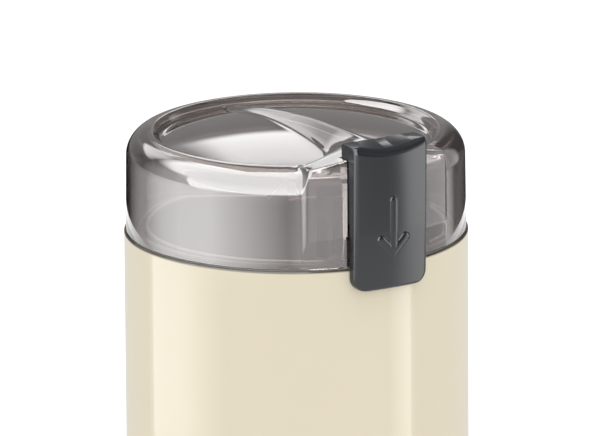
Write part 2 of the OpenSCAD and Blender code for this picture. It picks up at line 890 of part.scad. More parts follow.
// The room beside a pole's neck, where the coil's sides run through the stack.
module coil_window() {
  translate([0, 0, -over])
    difference() {
      ring_sector(pole_r, yoke_r, 72, stack_h + 2 * over);
      translate([-pole_half, 0, -over])
        cube([2 * pole_half, yoke_r + over, stack_h + 4 * over]);
    }
}

// A ring sector of the half angle a about +Y.
module ring_sector(r0, r1, a, h) {
  rotate([0, 0, 90 - a])
    rotate_extrude(angle = 2 * a)
      translate([r0, 0])
        square([r1 - r0, h]);
}

module stator_coils() {
  color("#b06a35")
    for (side = [0, 180])
      rotate([0, 0, side])
        difference() {
          translate([0, 0, coil_z])
            ring_sector(coil_in_r, coil_in_r + coil_t, 69, stack_h + 2 * coil_over);
          translate([-pole_half - slip, 0, stack_z - slip])
            cube([2 * (pole_half + slip), yoke_r + over, stack_h + 2 * slip]);
        }
}

// A bracket's plate, with z = 0 at its face toward the stack and its legs standing on it.
module bracket(leg_l, boss_h) {
  difference() {
    union() {
      intersection() {
        translate([-bracket_half, -bracket_half, -bracket_h])
          cube([2 * bracket_half, 2 * bracket_half, bracket_h]);
        translate([0, 0, -bracket_h])
          cylinder(r = bracket_corner_r, h = bracket_h);
      }
      for (x = [-bolt_xy, bolt_xy], y = [-bolt_xy, bolt_xy])
        translate([x, y, 0])
          cylinder(r = leg_r, h = leg_l);
      translate([0, 0, -bracket_h])
        cylinder(r = bearing_r + bearing_wall, h = bracket_h);
      translate([0, 0, -bracket_h - boss_h])
        cylinder(r = bearing_r + bearing_wall, h = boss_h);
    }
    for (x = [-bolt_xy, bolt_xy], y = [-bolt_xy, bolt_xy])
      translate([x, y, -bracket_h - over])
        cylinder(r = bolt_r, h = bracket_h + leg_l + 2 * over);
    // the air holes round the hub
    at_angles([45, 135, 225, 315], (bearing_r + bolt_xy) / 2 + 1.5)
      translate([0, 0, -bracket_h - over])
        cylinder(r = air_hole_r, h = bracket_h + 2 * over);
  }
}

module upper_bracket() {
  color("#9fa2a5")
    difference() {
      translate([0, 0, bracket_z])
        mirror([0, 0, 1])
          bracket(bracket_z - stack_top_z, bearing_h / 2 - 1);
      translate([0, 0, upper_bearing_z])
        cylinder(r = bearing_r, h = bearing_h);
      translate([0, 0, bracket_z - over])
        cylinder(r = bearing_r - 1, h = 20);
      at_angles([0, 90, 180, 270], mount_ring_r)
        translate([0, 0, bracket_z - over])
          cylinder(r = screw_r, h = bracket_h + 2 * over);
    }
}

module lower_bracket() {
  color("#9fa2a5")
    difference() {
      translate([0, 0, lower_top_z])
        bracket(stack_z - lower_top_z, 1.5);
      translate([0, 0, lower_bearing_z - over])
        cylinder(r = bearing_r, h = bearing_h + 2 * over);
    }
}

module bearing_bush(z) {
  color("#b0803f")
    translate([0, 0, z])
      difference() {
        cylinder(r = bearing_r, h = bearing_h);
        translate([0, 0, -over])
          cylinder(r = shaft_r + running_fit, h = bearing_h + 2 * over);
      }
}

module upper_bearing() {
  bearing_bush(upper_bearing_z);
}

module lower_bearing() {
  bearing_bush(lower_bearing_z);
}

module motor_bolts() {
  top = bracket_z + bracket_h;
  color("#b9bcbf")
    for (x = [-bolt_xy, bolt_xy], y = [-bolt_xy, bolt_xy])
      translate([x, y, 0]) {
        translate([0, 0, lower_z - bolt_head_h])
          cylinder(r = bolt_r + 1.6, h = bolt_head_h, $fn = 6);
        translate([0, 0, lower_z])
          cylinder(r = bolt_r, h = top - lower_z);
      }
}

module motor_mounts() {
  color("#303234")
    at_angles([0, 90, 180, 270], mount_ring_r)
      translate([0, 0, floor_z - mount_h])
        difference() {
          cylinder(r = mount_r, h = mount_h);
          translate([0, 0, -over])
            cylinder(r = screw_r + 0.2, h = mount_h + 2 * over);
        }
}

module motor_mount_screws() {
  color("#b9bcbf")
    at_angles([0, 90, 180, 270], mount_ring_r)
      translate([0, 0, floor_top_z])
        screw(carrier_floor_h + mount_h + bracket_h);
}

// ---- Brushes ----

module brush_holders() {
  color("#c79a4b")
    for (side = [0, 180])
      rotate([0, 0, side])
        difference() {
          translate([holder_in, -holder_half, lower_top_z])
            cube([holder_l, 2 * holder_half, brush_z + holder_half - lower_top_z]);
          translate([holder_in - over, -brush_w / 2 - 0.1, brush_z - brush_w / 2 - 0.1])
            cube([holder_l - holder_wall + over, brush_w + 0.2, brush_w + 0.2]);
        }
}

module carbon_brushes() {
  color("#3a3a3c")
    for (side = [0, 180])
      rotate([0, 0, side])
        difference() {
          translate([brush_in - 1, -brush_w / 2, brush_z - brush_w / 2])
            cube([brush_l + 1, brush_w, brush_w]);
          translate([0, 0, brush_z - brush_w / 2 - over])
            cylinder(r = brush_in, h = brush_w + 2 * over);
        }
}

module brush_springs() {
  color("#c4c7ca")
    for (side = [0, 180])
      rotate([0, 0, side])
        translate([brush_in + brush_l, 0, brush_z])
          rotate([0, 90, 0])
            coil_spring(
              brush_spring_r, brush_wire_r, 4,
              holder_in + holder_l - holder_wall - brush_in - brush_l, 10
            );
}

// ---- Switch ----

module switch_base() {
  color("#5a5d60") {
    difference() {
      union() {
        front_box(switch_half, switch_back, switch_back + switch_wall, switch_z, floor_z);
        front_box(switch_half, switch_back, tongue_in_r - slip, switch_z, switch_z + switch_wall);
      }
      translate([0, 0, switch_z - over])
        difference() {
          cylinder(r = body_r + 10, h = switch_wall + 2 * over);
          translate([0, 0, -over])
            cylinder(r = carrier_r, h = switch_wall + 4 * over);
        }
    }
    // the block that holds the leaf's root, and the one under the fixed contact
    translate([leaf_root_x - 3, -nose_s - leaf_w / 2 - 1, switch_z + switch_wall])
      cube([3, leaf_w + 2, leaf_top_z - leaf_t - switch_z - switch_wall]);
    translate([contact_x - 1, -nose_s - leaf_w / 2 - 0.5, switch_z + switch_wall])
      cube([5, leaf_w + 1, contact_h - leaf_t - switch_z - switch_wall]);
    // the seat of the plunger's spring
    translate([0, -spring_s, switch_z + switch_wall])
      cylinder(
        r = spring_r + spring_wire_r + 0.6,
        h = plunger_foot_z - plunger_spring_h - switch_z - switch_wall
      );
  }
}

module switch_plunger() {
  color("#d9d7d0") {
    front_ring(tongue_in_r, flange_r, tongue_half, plunger_foot_z, plunger_top_z);
    difference() {
      front_box(tongue_half, nose_s - 1, tongue_in_r + 1, plunger_foot_z, plunger_foot_z + plunger_foot_t);
      translate([0, 0, plunger_foot_z - over])
        difference() {
          cylinder(r = body_r + 10, h = plunger_foot_t + 2 * over);
          translate([0, 0, -over])
            cylinder(r = flange_r - 0.2, h = plunger_foot_t + 4 * over);
        }
    }
    translate([-1, -nose_s - 1, plunger_foot_z - nose_h])
      cube([2, 2, nose_h + 1]);
  }
}

module plunger_spring() {
  color("#c4c7ca")
    translate([0, -spring_s, plunger_foot_z - plunger_spring_h])
      coil_spring(spring_r, spring_wire_r, spring_turns, plunger_spring_h);
}

module fixed_contact() {
  color("#c98b4a") {
    translate([contact_x - 1, -nose_s - leaf_w / 2, contact_h - leaf_t])
      cube([5, leaf_w, leaf_t]);
    translate([contact_x + 4, -nose_s - leaf_w / 2, switch_z + 2 * switch_wall])
      cube([leaf_t, leaf_w, contact_h - switch_z - 2 * switch_wall]);
  }
}

module moving_contact() {
  color("#d29a55") {
    translate([leaf_root_x - 2, -nose_s - leaf_w / 2, leaf_top_z - leaf_t])
      cube([leaf_arm + leaf_tip + 2, leaf_w, leaf_t]);
    translate([contact_x + 1, -nose_s, leaf_top_z - leaf_t - 0.2])
      cylinder(r = 1.2, h = 0.3);
  }
}

module suppression_capacitor() {
  color("#d8b23c")
    translate([-capacitor_x, -capacitor_w / 2, plate_top_z])
      cube([capacitor_t, capacitor_w, capacitor_h]);
}

// The insulated leads inside: switch to one brush, and the other brush to the capacitor.
module motor_leads() {
  holder_end = holder_in + holder_l;
  way_r = bracket_corner_r + 2.4;
  switch_lead = concat(
    [[leaf_root_x - 1, -nose_s, switch_z], [leaf_root_x - 1, -nose_s - 0.5, switch_z - 4]],
    [for (i = [0:5]) [each plan(way_r, -32 - 10 * i), switch_z - 9 - (switch_z - 12 - brush_z) * i / 5]],
    [[-holder_end - 4, 0, brush_z], [-holder_end, 0, brush_z]]
  );
  brush_lead = concat(
    [[holder_end, 0, brush_z], [holder_end + 4, 0.5, brush_z]],
    [for (a = [14:15:164]) [way_r * cos(a), way_r * sin(a), brush_z - 2]],
    [
      [capacitor_t / 2 - capacitor_x, capacitor_w / 4, brush_z - 2.6],
      [capacitor_t / 2 - capacitor_x, capacitor_w / 4, plate_top_z + capacitor_h]
    ]
  );
  color("#3d5f9a") {
    tube(switch_lead, lead_r, 8, [0.3, 0.4, 0.9]);
    tube(brush_lead, lead_r, 8, [0, -0.3, 1]);
  }
}

// ---- Lid ----

// Height of the lid's crest over the seam at the distance s in front of the axis.
function crest(s) = crest_h - crest_fall * pow(max(0, crest_fall_s - s), 2);

// Slope of the ridge's flanks, which flare out toward the button.
function flank(s) =
  flank_slope + (pad_slope - flank_slope) * smooth((s - flare_start) / (pad_r - 4 - flare_start));

// The ridge as a roof: x is the distance from the crest and s the distance in front of the axis.
function roof(x, s) = crest(s) - flank(s) * max(0, abs(x) - crest_half);

// The lid's section away from the ridge, from the seam over the rim to the top: [radius, height].
shoulder_steps = 6;
wall_heights = [0, 3, 6, 10, 14, shoulder_h];
dome_radii = [30, 27.5, 25, 22.5, 20, 17.5, 15, 12.5, 10, 8, 6, 4, 2];
lid_wall_rings = [for (h = wall_heights) [lid_r - lid_draft * h / shoulder_h, h]];
lid_shoulder_rings = [
  for (i = [1:shoulder_steps])
    let(a = 90 * i / shoulder_steps)
    [shoulder_ring_r + shoulder_r * cos(a), shoulder_h + shoulder_r * sin(a)]
];
lid_valley_rings = [
  [valley_r + valley_in * 0.6, rim_h - valley_drop * 0.22],
  [valley_r + valley_in * 0.28, rim_h - valley_drop * 0.7],
  [valley_r, valley_h],
  [valley_r - 1.4, dome(valley_r - 1.4)]
];
function dome(r) = dome_h - dome_rise * pow(r / valley_r, 2);
lid_dome_rings = [for (r = dome_radii) [r, dome(r)]];
lid_rings = concat(lid_wall_rings, lid_shoulder_rings, lid_valley_rings, lid_dome_rings);
n_wall = len(lid_wall_rings);

// The angles of the lid's columns, closer together on the ridge and the pad.
lid_half_angles = concat(
  [1, 2, 3, 5, 7.5, 10, 12.5, 15, 17.5, 20, 22.5, 24.5, pad_angle - 1, pad_angle],
  [for (a = [31:5:166]) a],
  [170, 173, 175.5, 177.5, 179]
);
lid_angles = concat(
  [0],
  lid_half_angles,
  [180],
  [for (i = [len(lid_half_angles) - 1:-1:0]) -lid_half_angles[i]]
);

// How much of the pad there is at the angle a: all inside its two edges and none outside.
function pad_share(a) = min(1, max(0, pad_angle - abs(a)));

// The point of the lid's outside on ring i at the angle a.
function lid_point(i, a) =
  let(
    base = lid_rings[i],
    step = i - n_wall + 1,
    on_wall = i < n_wall,
    on_edge = !on_wall && step <= shoulder_steps / 2,
    turn = on_edge ? 180 * step / shoulder_steps : 0,
    wall_r = base[0] + (pad_r - base[0]) * smooth(base[1] / pad_fade_h),
    full_r = on_wall ? wall_r : pad_r - pad_round_w * (1 - cos(turn)),
    r = on_wall || on_edge ? base[0] + (full_r - base[0]) * pad_share(a) : base[0],
    p = plan(r, a),
    top = roof(p[0], -p[1]),
    wall_h = base[1] * pad_wall_h / shoulder_h,
    full_h = on_wall ? wall_h : pad_wall_h + (top - pad_wall_h) * sin(turn),
    h = on_wall || on_edge
      ? base[1] + (max(full_h, base[1]) - base[1]) * pad_share(a)
      : soft_max(base[1], top, foot_blend)
  )
  [p[0], p[1], seam_h + h];

// The outside of the lid as one closed loft over its rings and columns.
module lid_outside() {
  rows = len(lid_rings);
  cols = len(lid_angles);
  points = concat(
    [for (i = [0:rows - 1], a = lid_angles) lid_point(i, a)],
    [[0, 0, seam_h + soft_max(dome_h, crest(0), foot_blend)]]
  );
  skin = [
    for (i = [0:rows - 2], j = [0:cols - 1])
      let(a = i * cols + j, b = i * cols + (j + 1) % cols)
      each [[a, b + cols, b], [a, a + cols, b + cols]]
  ];
  last = (rows - 1) * cols;
  cap = [for (j = [0:cols - 1]) [last + j, rows * cols, last + (j + 1) % cols]];
  polyhedron(points, concat(skin, cap, [[for (j = [0:cols - 1]) j]]));
}

// The room inside the lid, at the lid's thickness below the plain section.
module lid_inside() {
  translate([0, 0, seam_h])
    rotate_extrude()
      polygon(concat(
        [[0, -over], [lid_bore_r, -over]],
        arc([shoulder_ring_r, shoulder_h], lid_bore_r - shoulder_ring_r, 0, 90, 6),
        [[valley_r + 0.6, valley_h - lid_wall + 0.1]],
        [for (r = [valley_r - 1, 26, 17, 8, 0]) [r, dome(r) - lid_wall]]
      ));
}

// The hollow under the ridge keeps its wall as thin as the rest.
module ridge_core() {
  back = 14;
  front = button_back - lid_wall;
  inside = [for (s = [-back:4:front]) [s, max(dome(s), crest(s) - 0.4) - lid_wall]];
  translate([1, 0, seam_h])
    rotate([90, 0, -90])
      linear_extrude(2)
        polygon(concat(
          [[-back, dome_h / 2]],
          inside,
          [[front, crest(front) - lid_wall - 0.4], [front, dome_h / 2]]
        ));
}

module lid_shell() {
  color("#a39a98", 0.75)
    difference() {
      lid_outside();
      lid_inside();
      ridge_core();
      // the button's slot: through the wall, then open to the top
      front_box(slot_half, tongue_in_r - 1, body_r + over, seam_h + slot_h, seam_h + shoulder_h + 1);
      front_box(slot_half, button_back - slip, body_r + over, seam_h + slot_h, seam_h + crest_h + over);
      // the shallow pocket behind the face plate
      difference() {
        front_box(slot_half + 0.8, button_back, body_r + over, seam_h - over, seam_h + slot_h + over);
        translate([0, 0, seam_h - 2 * over])
          cylinder(r = pad_r - 0.7, h = slot_h + 4 * over);
      }
    }
}

// The channel inside the lid that the button's flange slides in.
module lid_guide() {
  color("#8d8583", 0.75)
    intersection() {
      difference() {
        front_box(guide_half + guide_wall, guide_back, body_r, guide_z, guide_top_z);
        front_box(guide_half, guide_back + guide_wall, body_r, guide_z + guide_wall, guide_top_z + over);
        front_box(tongue_half + slip, tongue_in_r - slip, body_r, guide_z - over, guide_top_z);
        front_box(
          guide_half + guide_wall + over, guide_back + guide_wall, body_r,
          seam_h + shoulder_h - 1, guide_top_z + over
        );
      }
      cylinder(r = lid_bore_r, h = guide_top_z);
    }
}

// ---- Button ----

// The face plate and the finger pad, cut from three outlines, with the dish in the top.
module button_body() {
  foot_s = plate_back_r + plate_t;
  top_s = foot_s + face_lean;
  height = button_top_h + button_drop;
  // the back of the plate below the finger pad, clear of the spring
  web_back = tongue_in_r + 0.4;
  dish_half = button_half - face_edge_r / 2;
  dish_r = (dish_half * dish_half + dish_depth * dish_depth) / (2 * dish_depth);
  dish_tilt = atan(dish_depth / (top_s - button_back));
  difference() {
    button_block(foot_s, top_s, height, web_back);
    // the dish runs out to nothing at the back
    translate([0, -top_s, seam_h + button_top_h - dish_depth + dish_r])
      rotate([dish_tilt - 90, 0, 0])
        translate([0, 0, -dish_r / 2])
          cylinder(r = dish_r, h = 2 * dish_r, $fn = 180);
  }
}

module button_block(foot_s, top_s, height, web_back) {
  intersection() {
    // from above: a slightly rounded face with rounded upright edges
    translate([0, 0, seam_h - button_drop - over])
      linear_extrude(height + 2 * over)
        offset(r = face_edge_r)
          offset(delta = -face_edge_r)
            intersection() {
              translate([-button_half, -top_s - over])
                square([button_w, top_s + over]);
              translate([0, face_r - top_s])
                circle(r = face_r, $fn = 240);
            }
    // from the side: the leaning face and the round top edge
    translate([button_half + over, 0, seam_h])
      rotate([90, 0, -90])
        linear_extrude(button_w + 2 * over)
          polygon(concat(
            [
              [body_r - 10, -button_drop],
              [foot_s - 0.6, -button_drop],
              [foot_s, 0.6 - button_drop],
              [foot_s + face_lean * 0.55, height * 0.4 - button_drop]
            ],
            arc([top_s - top_edge_r, button_top_h - top_edge_r], top_edge_r, 5, 90, 7),
            [
              [button_back, button_top_h - 0.2],
              [button_back, flange_top_h + 1],
              [web_back, flange_top_h],
              [web_back, slot_h + 2]
            ]
          ));
    // from the front: round bottom corners
    translate([0, 0, seam_h])
      rotate([90, 0, 0])
        linear_extrude(body_r + 20)
          offset(r = corner_r)
            offset(delta = -corner_r)
              translate([-button_half, -button_drop])
                square([button_w, height + 2 * corner_r]);
  }
}

module button() {
  web_z = seam_h + slot_h + button_travel + slip;
  flange_z = guide_z + guide_wall + button_travel + slip;
  color("#4a4e52") {
    difference() {
      button_body();
      translate([0, 0, seam_h - button_drop - over])
        cylinder(r = plate_back_r, h = web_z - seam_h + button_drop + over);
    }
    // the web through the slot and the flange behind the wall
    difference() {
      front_box(button_half, tongue_in_r - 1, plate_back_r, web_z, seam_h + flange_top_h);
      translate([0, 0, web_z - over])
        cylinder(r = tongue_in_r, h = flange_top_h + 2 * over);
    }
    front_ring(tongue_in_r, flange_r, flange_half, flange_z, seam_h + flange_top_h);
    // the tongue that reaches the switch's plunger
    front_ring(tongue_in_r, flange_r, tongue_half, seam_h - tongue_drop, flange_z + over);
    // the arm over the spring
    front_box(
      spring_r + spring_wire_r + 0.3, spring_s - spring_r - spring_wire_r, tongue_in_r + 0.6,
      arm_z, arm_z + arm_t
    );
  }
}

module button_spring() {
  base_z = guide_z + guide_wall;
  color("#c4c7ca")
    translate([0, -spring_s, base_z])
      coil_spring(spring_r, spring_wire_r, spring_turns, arm_z - base_z);
}

housing();
base_plate();
rubber_feet();
base_screws();
cord_gland();
bowl_carrier();
carrier_screws();
grinding_bowl();
bowl_seal();
blade();
blade_nut();
motor_shaft();
rotor_core();
rotor_windings();
commutator();
cooling_fan();
stator_core();
stator_coils();
upper_bracket();
lower_bracket();
upper_bearing();
lower_bearing();
motor_bolts();
motor_mounts();
motor_mount_screws();
brush_holders();
carbon_brushes();
brush_springs();
switch_base();
switch_plunger();
plunger_spring();
fixed_contact();
moving_contact();
suppression_capacitor();
motor_leads();
lid_shell();
lid_guide();
button();
button_spring();
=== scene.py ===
"""Builds the looks of an electric spice grinder around its packed CAD frame.

Each piece is a closed mesh in metres, at the place that the frame gives it. Sizes are in
millimetres inside the mesh functions, and heights on the lid and button are over the seam.
"""

import math

import bpy
import numpy as np
from bpy.props import FloatProperty, FloatVectorProperty, IntProperty, PointerProperty
from bpy.types import Operator, Panel, PropertyGroup
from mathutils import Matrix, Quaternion, Vector


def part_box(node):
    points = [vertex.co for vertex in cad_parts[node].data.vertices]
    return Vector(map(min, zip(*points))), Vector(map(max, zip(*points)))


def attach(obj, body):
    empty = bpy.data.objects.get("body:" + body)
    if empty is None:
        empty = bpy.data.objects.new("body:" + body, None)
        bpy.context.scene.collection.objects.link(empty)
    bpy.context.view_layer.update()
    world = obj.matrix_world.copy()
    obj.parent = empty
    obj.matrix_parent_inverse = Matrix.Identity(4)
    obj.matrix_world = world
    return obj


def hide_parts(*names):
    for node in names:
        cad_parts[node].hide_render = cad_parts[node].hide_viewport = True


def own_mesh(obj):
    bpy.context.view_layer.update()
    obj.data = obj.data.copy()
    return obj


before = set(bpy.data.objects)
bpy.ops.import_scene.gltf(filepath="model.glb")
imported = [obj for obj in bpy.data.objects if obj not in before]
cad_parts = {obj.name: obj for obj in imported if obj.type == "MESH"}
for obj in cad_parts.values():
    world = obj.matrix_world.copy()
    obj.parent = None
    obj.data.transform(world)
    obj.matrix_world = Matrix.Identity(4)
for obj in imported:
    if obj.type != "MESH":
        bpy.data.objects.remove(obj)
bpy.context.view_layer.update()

bl_info = {
    "name": "Spice grinder",
    "version": (1, 0, 0),
    "blender": (4, 5, 0),
    "location": "3D View > Sidebar > Grinder",
    "description": "Builds the looks of an electric spice grinder around its CAD frame",
    "category": "Object",
}

MM = 0.001
CREASE = 32.0  # degrees between two faces from which their edge stays sharp


# ---- Sizes and colours ----

def length(name, text, default_mm):
    """A length property with a default in millimetres."""
    return FloatProperty(
        name=name, description=text, default=default_mm * MM, unit="LENGTH", subtype="DISTANCE",
        precision=5,
    )


def colour(name, text, red, green, blue):
    """A colour property from the 0 to 255 values that a colour chart gives."""
    return FloatVectorProperty(
        name=name, description=text, subtype="COLOR", size=3, min=0.0, max=1.0,
        default=tuple(linear(value / 255) for value in (red, green, blue)),
    )


def linear(value):
    """A channel of an sRGB colour, from 0 to 1, as linear light."""
    return value / 12.92 if value <= 0.04045 else ((value + 0.055) / 1.055) ** 2.4


def box_mm(node):
    """A node's lowest and highest corners in millimetres."""
    low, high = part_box(node)
    return low / MM, high / MM


BODY_LOW, BODY_HIGH = box_mm("housing")
LID_LOW = box_mm("lid_shell")[0]
BOWL_LOW, BOWL_HIGH = box_mm("grinding_bowl")


class BodySizes(PropertyGroup):
    """Sizes of the housing and of the bowl in it."""

    radius: length("Radius", "Radius of the round housing", BODY_HIGH.x)
    wall: length("Wall", "Thickness of the housing's wall", 2.4)
    bottom: length("Bottom", "Gap under the housing", BODY_LOW.z)
    top: length("Top", "Height of the housing's top edge", BODY_HIGH.z)
    edge: length("Edge", "Radius of the housing's top and bottom edges", 0.3)
    bowl_rim: length("Bowl rim", "Outer radius of the bowl's rolled rim", BOWL_HIGH.x)
    bowl_bead: length("Rim bead", "Radius of the rolled rim's section", 0.8)
    bowl_wall: length("Bowl wall", "Thickness of the bowl's sheet", 0.6)
    bowl_corner: length("Bowl corner", "Radius between the bowl's floor and wall", 9.0)
    bowl_hole: length("Bowl hole", "Radius of the hole for the seal", 6.0)


class LidSizes(PropertyGroup):
    """Sizes of the see-through lid."""

    seam: length("Seam", "Height of the lid's lower edge", LID_LOW.z)
    radius: length("Radius", "Radius of the lid at the seam", 43.53)
    draft: length("Draft", "How much the wall leans in over its height", 0.23)
    wall: length("Wall", "Thickness of the lid", 2.2)
    shoulder: length("Shoulder", "Radius of the round shoulder", 6.4)
    shoulder_height: length("Shoulder height", "Height where the wall turns into the shoulder", 19.3)
    valley_width: length("Valley width", "From the rim's top in to the crease", 2.7)
    valley_drop: length("Valley drop", "Depth of the crease inside the rim", 2.35)
    dome_rise: length("Dome rise", "Height of the dome over the crease", 3.75)
    crest: length("Crest", "Height of the ridge's crest over the seam", 30.5)


class ButtonSizes(PropertyGroup):
    """Sizes of the slider button on the lid."""

    half_width: length("Half width", "Half the width of the button", 10.75)
    top: length("Top", "Height of the button's top corners over the seam", 31.78)
    dish: length("Dish", "Depth of the finger dish at the front of its top", 1.6)
    foot_face: length("Foot", "Distance of the face from the axis at its foot", 46.1)
    top_face: length("Head", "Distance of the face from the axis at its top", 46.84)
    back: length("Back", "Distance of the finger pad's back from the axis", 39.0)
    drop: length("Drop", "How far the face plate hangs below the seam", 6.0)
    corner: length("Corner", "Radius of the two bottom corners", 3.5)
    edge: length("Edge", "Radius of the upright edges", 1.1)
    top_edge: length("Top edge", "Radius of the top's front edge", 1.7)
    relief: length("Relief", "How far the arrow stands out", 0.45)
    stroke: length("Stroke", "Half the width of the arrow's strokes", 1.2)
    travel: length("Travel", "How far a push moves the button and its springs", 4.0)
    spring_radius: length("Spring", "Radius of the springs' coils, to the middle of the wire", 1.55)
    spring_wire: length("Spring wire", "Radius of the springs' wire", 0.3)


class Colours(PropertyGroup):
    """Colours of the finishes."""

    cream: colour("Cream", "Glossy plastic of the housing", 229, 219, 194)
    smoke: colour("Smoke", "Tint of the see-through lid", 188, 177, 173)
    button: colour("Button", "Satin plastic of the button", 40, 42, 45)
    anthracite: colour("Anthracite", "Base plate and switch", 62, 64, 68)
    grey: colour("Grey", "Carrier of the bowl and the motor", 158, 155, 150)
    white: colour("White", "Fan and plunger", 222, 220, 212)
    rubber: colour("Rubber", "Feet, seal and mounts", 38, 38, 40)
    steel: colour("Steel", "Bowl, blade and screws", 205, 205, 204)
    core: colour("Core", "Stacks of sheet steel", 118, 120, 124)
    copper: colour("Copper", "Windings and commutator", 186, 108, 62)
    bronze: colour("Bronze", "Bushes, contacts and brush holders", 196, 158, 92)
    alloy: colour("Alloy", "Cast brackets of the motor", 172, 174, 176)
    carbon: colour("Carbon", "Brushes", 40, 40, 42)
    film: colour("Film", "Capacitor", 214, 184, 74)
    insulation: colour("Insulation", "Motor leads", 52, 86, 142)


class StageSizes(PropertyGroup):
    """Camera and light."""

    azimuth: FloatProperty(
        name="Azimuth", description="Camera's turn from the front toward -X", subtype="ANGLE",
        default=math.radians(31.7),
    )
    elevation: FloatProperty(
        name="Elevation", description="Camera's height angle", subtype="ANGLE",
        default=math.radians(14.95),
    )
    roll: FloatProperty(
        name="Roll", description="Camera's roll", subtype="ANGLE", default=math.radians(-0.39)
    )
    distance: length("Distance", "From the camera to its aim", 2600.0)
    focal: FloatProperty(
        name="Focal length", description="In millimetres, on a 36 mm sensor", default=610.0
    )
    sky: FloatProperty(name="Sky", description="Strength of the light from all sides", default=0.95)
    softbox: FloatProperty(
        name="Softbox", description="Power of the overhead softbox in watts", default=3.0
    )
    columns: IntProperty(name="Columns", description="Columns of the round pieces", default=256, min=96)


def sizes(group):
    """A group's lengths in millimetres, by name."""
    values = getattr(bpy.context.scene, group)
    return {key: getattr(values, key) / MM for key in values.__annotations__}


# ---- Meshes ----

PAST = 2.0  # how far the tool for a cut reaches past what it cuts


def smooth(t):
    """0 below 0, 1 above 1, and a smooth rise between them."""
    u = np.clip(t, 0.0, 1.0)
    return u * u * (3 - 2 * u)


def soft_max(a, b, width):
    """The larger of two heights, with the corner between them rounded."""
    return np.maximum(a, b) + np.maximum(0, width - np.abs(a - b)) ** 2 / (4 * width)


def soft_over(t, width):
    """t where it is over 0 and 0 below, with the corner rounded."""
    return np.where(t > width, t, np.where(t < -width, 0.0, (t + width) ** 2 / (4 * width)))


def arc(centre, radius, start, end, steps):
    """Points of an arc in a section, from one angle in degrees to another."""
    return [
        (centre[0] + radius * math.cos(math.radians(start + (end - start) * i / steps)),
         centre[1] + radius * math.sin(math.radians(start + (end - start) * i / steps)))
        for i in range(steps + 1)
    ]


def new_object(name, points, faces):
    """A mesh object from points in millimetres."""
    mesh = bpy.data.meshes.new(name)
    mesh.from_pydata((np.asarray(points, float) * MM).tolist(), [], faces)
    mesh.update()
    obj = bpy.data.objects.new(name, mesh)
    bpy.context.scene.collection.objects.link(obj)
    return obj


def grid_faces(rows, columns, closed=True, looped=False):
    """Quads over rows of points: closed joins each row's ends, looped the last row to the first."""
    def corner(i, j):
        return i % rows * columns + j % columns
    return [
        (corner(i, j), corner(i, j + 1), corner(i + 1, j + 1), corner(i + 1, j))
        for i in range(rows - (not looped)) for j in range(columns - (not closed))
    ]


def turned(name, section, columns):
    """A closed section of (radius, height) points, counter-clockwise, turned round the axis."""
    section = np.asarray(section, float)
    turn = np.linspace(0, 2 * math.pi, columns, endpoint=False)
    r, z = section[:, 0][:, None], section[:, 1][:, None] + 0 * turn[None]
    points = np.stack([r * np.cos(turn), r * np.sin(turn), z], -1)
    return new_object(name, points.reshape(-1, 3), grid_faces(len(section), columns, looped=True))


def capped(name, rows):
    """A closed loft over rings of points, with a flat face over the first and the last ring."""
    rows = np.asarray(rows, float)
    count, columns = rows.shape[:2]
    last = (count - 1) * columns
    caps = [tuple(range(columns - 1, -1, -1)), tuple(range(last, last + columns))]
    return new_object(name, rows.reshape(-1, 3), grid_faces(count, columns) + caps)


def circle(radius, columns):
    """Points of a circle round the axis, at height 0."""
    turn = np.linspace(0, 2 * math.pi, columns, endpoint=False)
    return np.stack([radius * np.cos(turn), radius * np.sin(turn), 0 * turn], -1)


def upright(name, ring, z0, z1):
    """A prism over a flat ring of points, between two heights."""
    return capped(name, [ring + (0, 0, z0), ring + (0, 0, z1)])


def rod(name, radius, z0, z1, columns=256):
    """An upright round rod on the axis, as a tool for cuts."""
    return upright(name, circle(radius, columns), z0, z1)


def rod_back(name, radius, y0, y1, height, columns=64):
    """A level round rod that points to the back, at a height over the table."""
    ring = circle(radius, columns)[:, (0, 2, 1)] * (1, 1, -1) + (0, 0, height)
    return capped(name, [ring + (0, y0, 0), ring + (0, y1, 0)])


def block(name, x0, x1, y0, y1, z0, z1):
    """A box between two corners, as a tool for cuts or a rib."""
    return upright(name, np.array([(x0, y0, 0), (x1, y0, 0), (x1, y1, 0), (x0, y1, 0)], float), z0, z1)


def front_ring(name, r0, r1, half, z0, z1, steps=24):
    """A piece of a round wall at the front, between two upright planes."""
    def line(radius):
        reach = math.asin(half / radius)
        turn = np.linspace(-reach, reach, steps + 1)
        return np.stack([radius * np.sin(turn), -radius * np.cos(turn), 0 * turn], -1)
    return upright(name, np.concatenate([line(r1), line(r0)[::-1]]), z0, z1)


def shaped(obj, *steps):
    """Adds and cuts the tools in order, applies the result and deletes the tools."""
    for kind, tool in steps:
        change = obj.modifiers.new(kind, "BOOLEAN")
        change.operation, change.object, change.solver = kind, tool, "MANIFOLD"
    graph = bpy.context.evaluated_depsgraph_get()
    mesh = bpy.data.meshes.new_from_object(obj.evaluated_get(graph))
    if not len(mesh.polygons):
        raise ValueError(f"nothing is left of {obj.name}")
    obj.modifiers.clear()
    obj.data = mesh
    for _, tool in steps:
        bpy.data.objects.remove(tool)
    return obj


def dressed(obj, body, slot, material, *nodes, crease=CREASE):
    """Gives a piece its body, its finish and the nodes that it stands for; the slot is not used."""
    obj.data.shade_smooth()
    obj.data.set_sharp_from_angle(angle=math.radians(crease))
    obj.data.materials.clear()
    obj.data.materials.append(material)
    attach(obj, body)
    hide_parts(*nodes)
    return obj


# ---- Finishes ----

NOISE_SPAN = (0.3, 0.7)  # the values that most of a noise lies between
SEAM_SHADOW_SPAN = (0.7, 0.2)  # where the painted shadow line of the gap under the lid starts and is full, under the housing's top edge
# colour of the painted shadow line in the gap between the housing and the lid
SEAM_SHADOW_TONE = (0.06, 0.05, 0.035, 1)


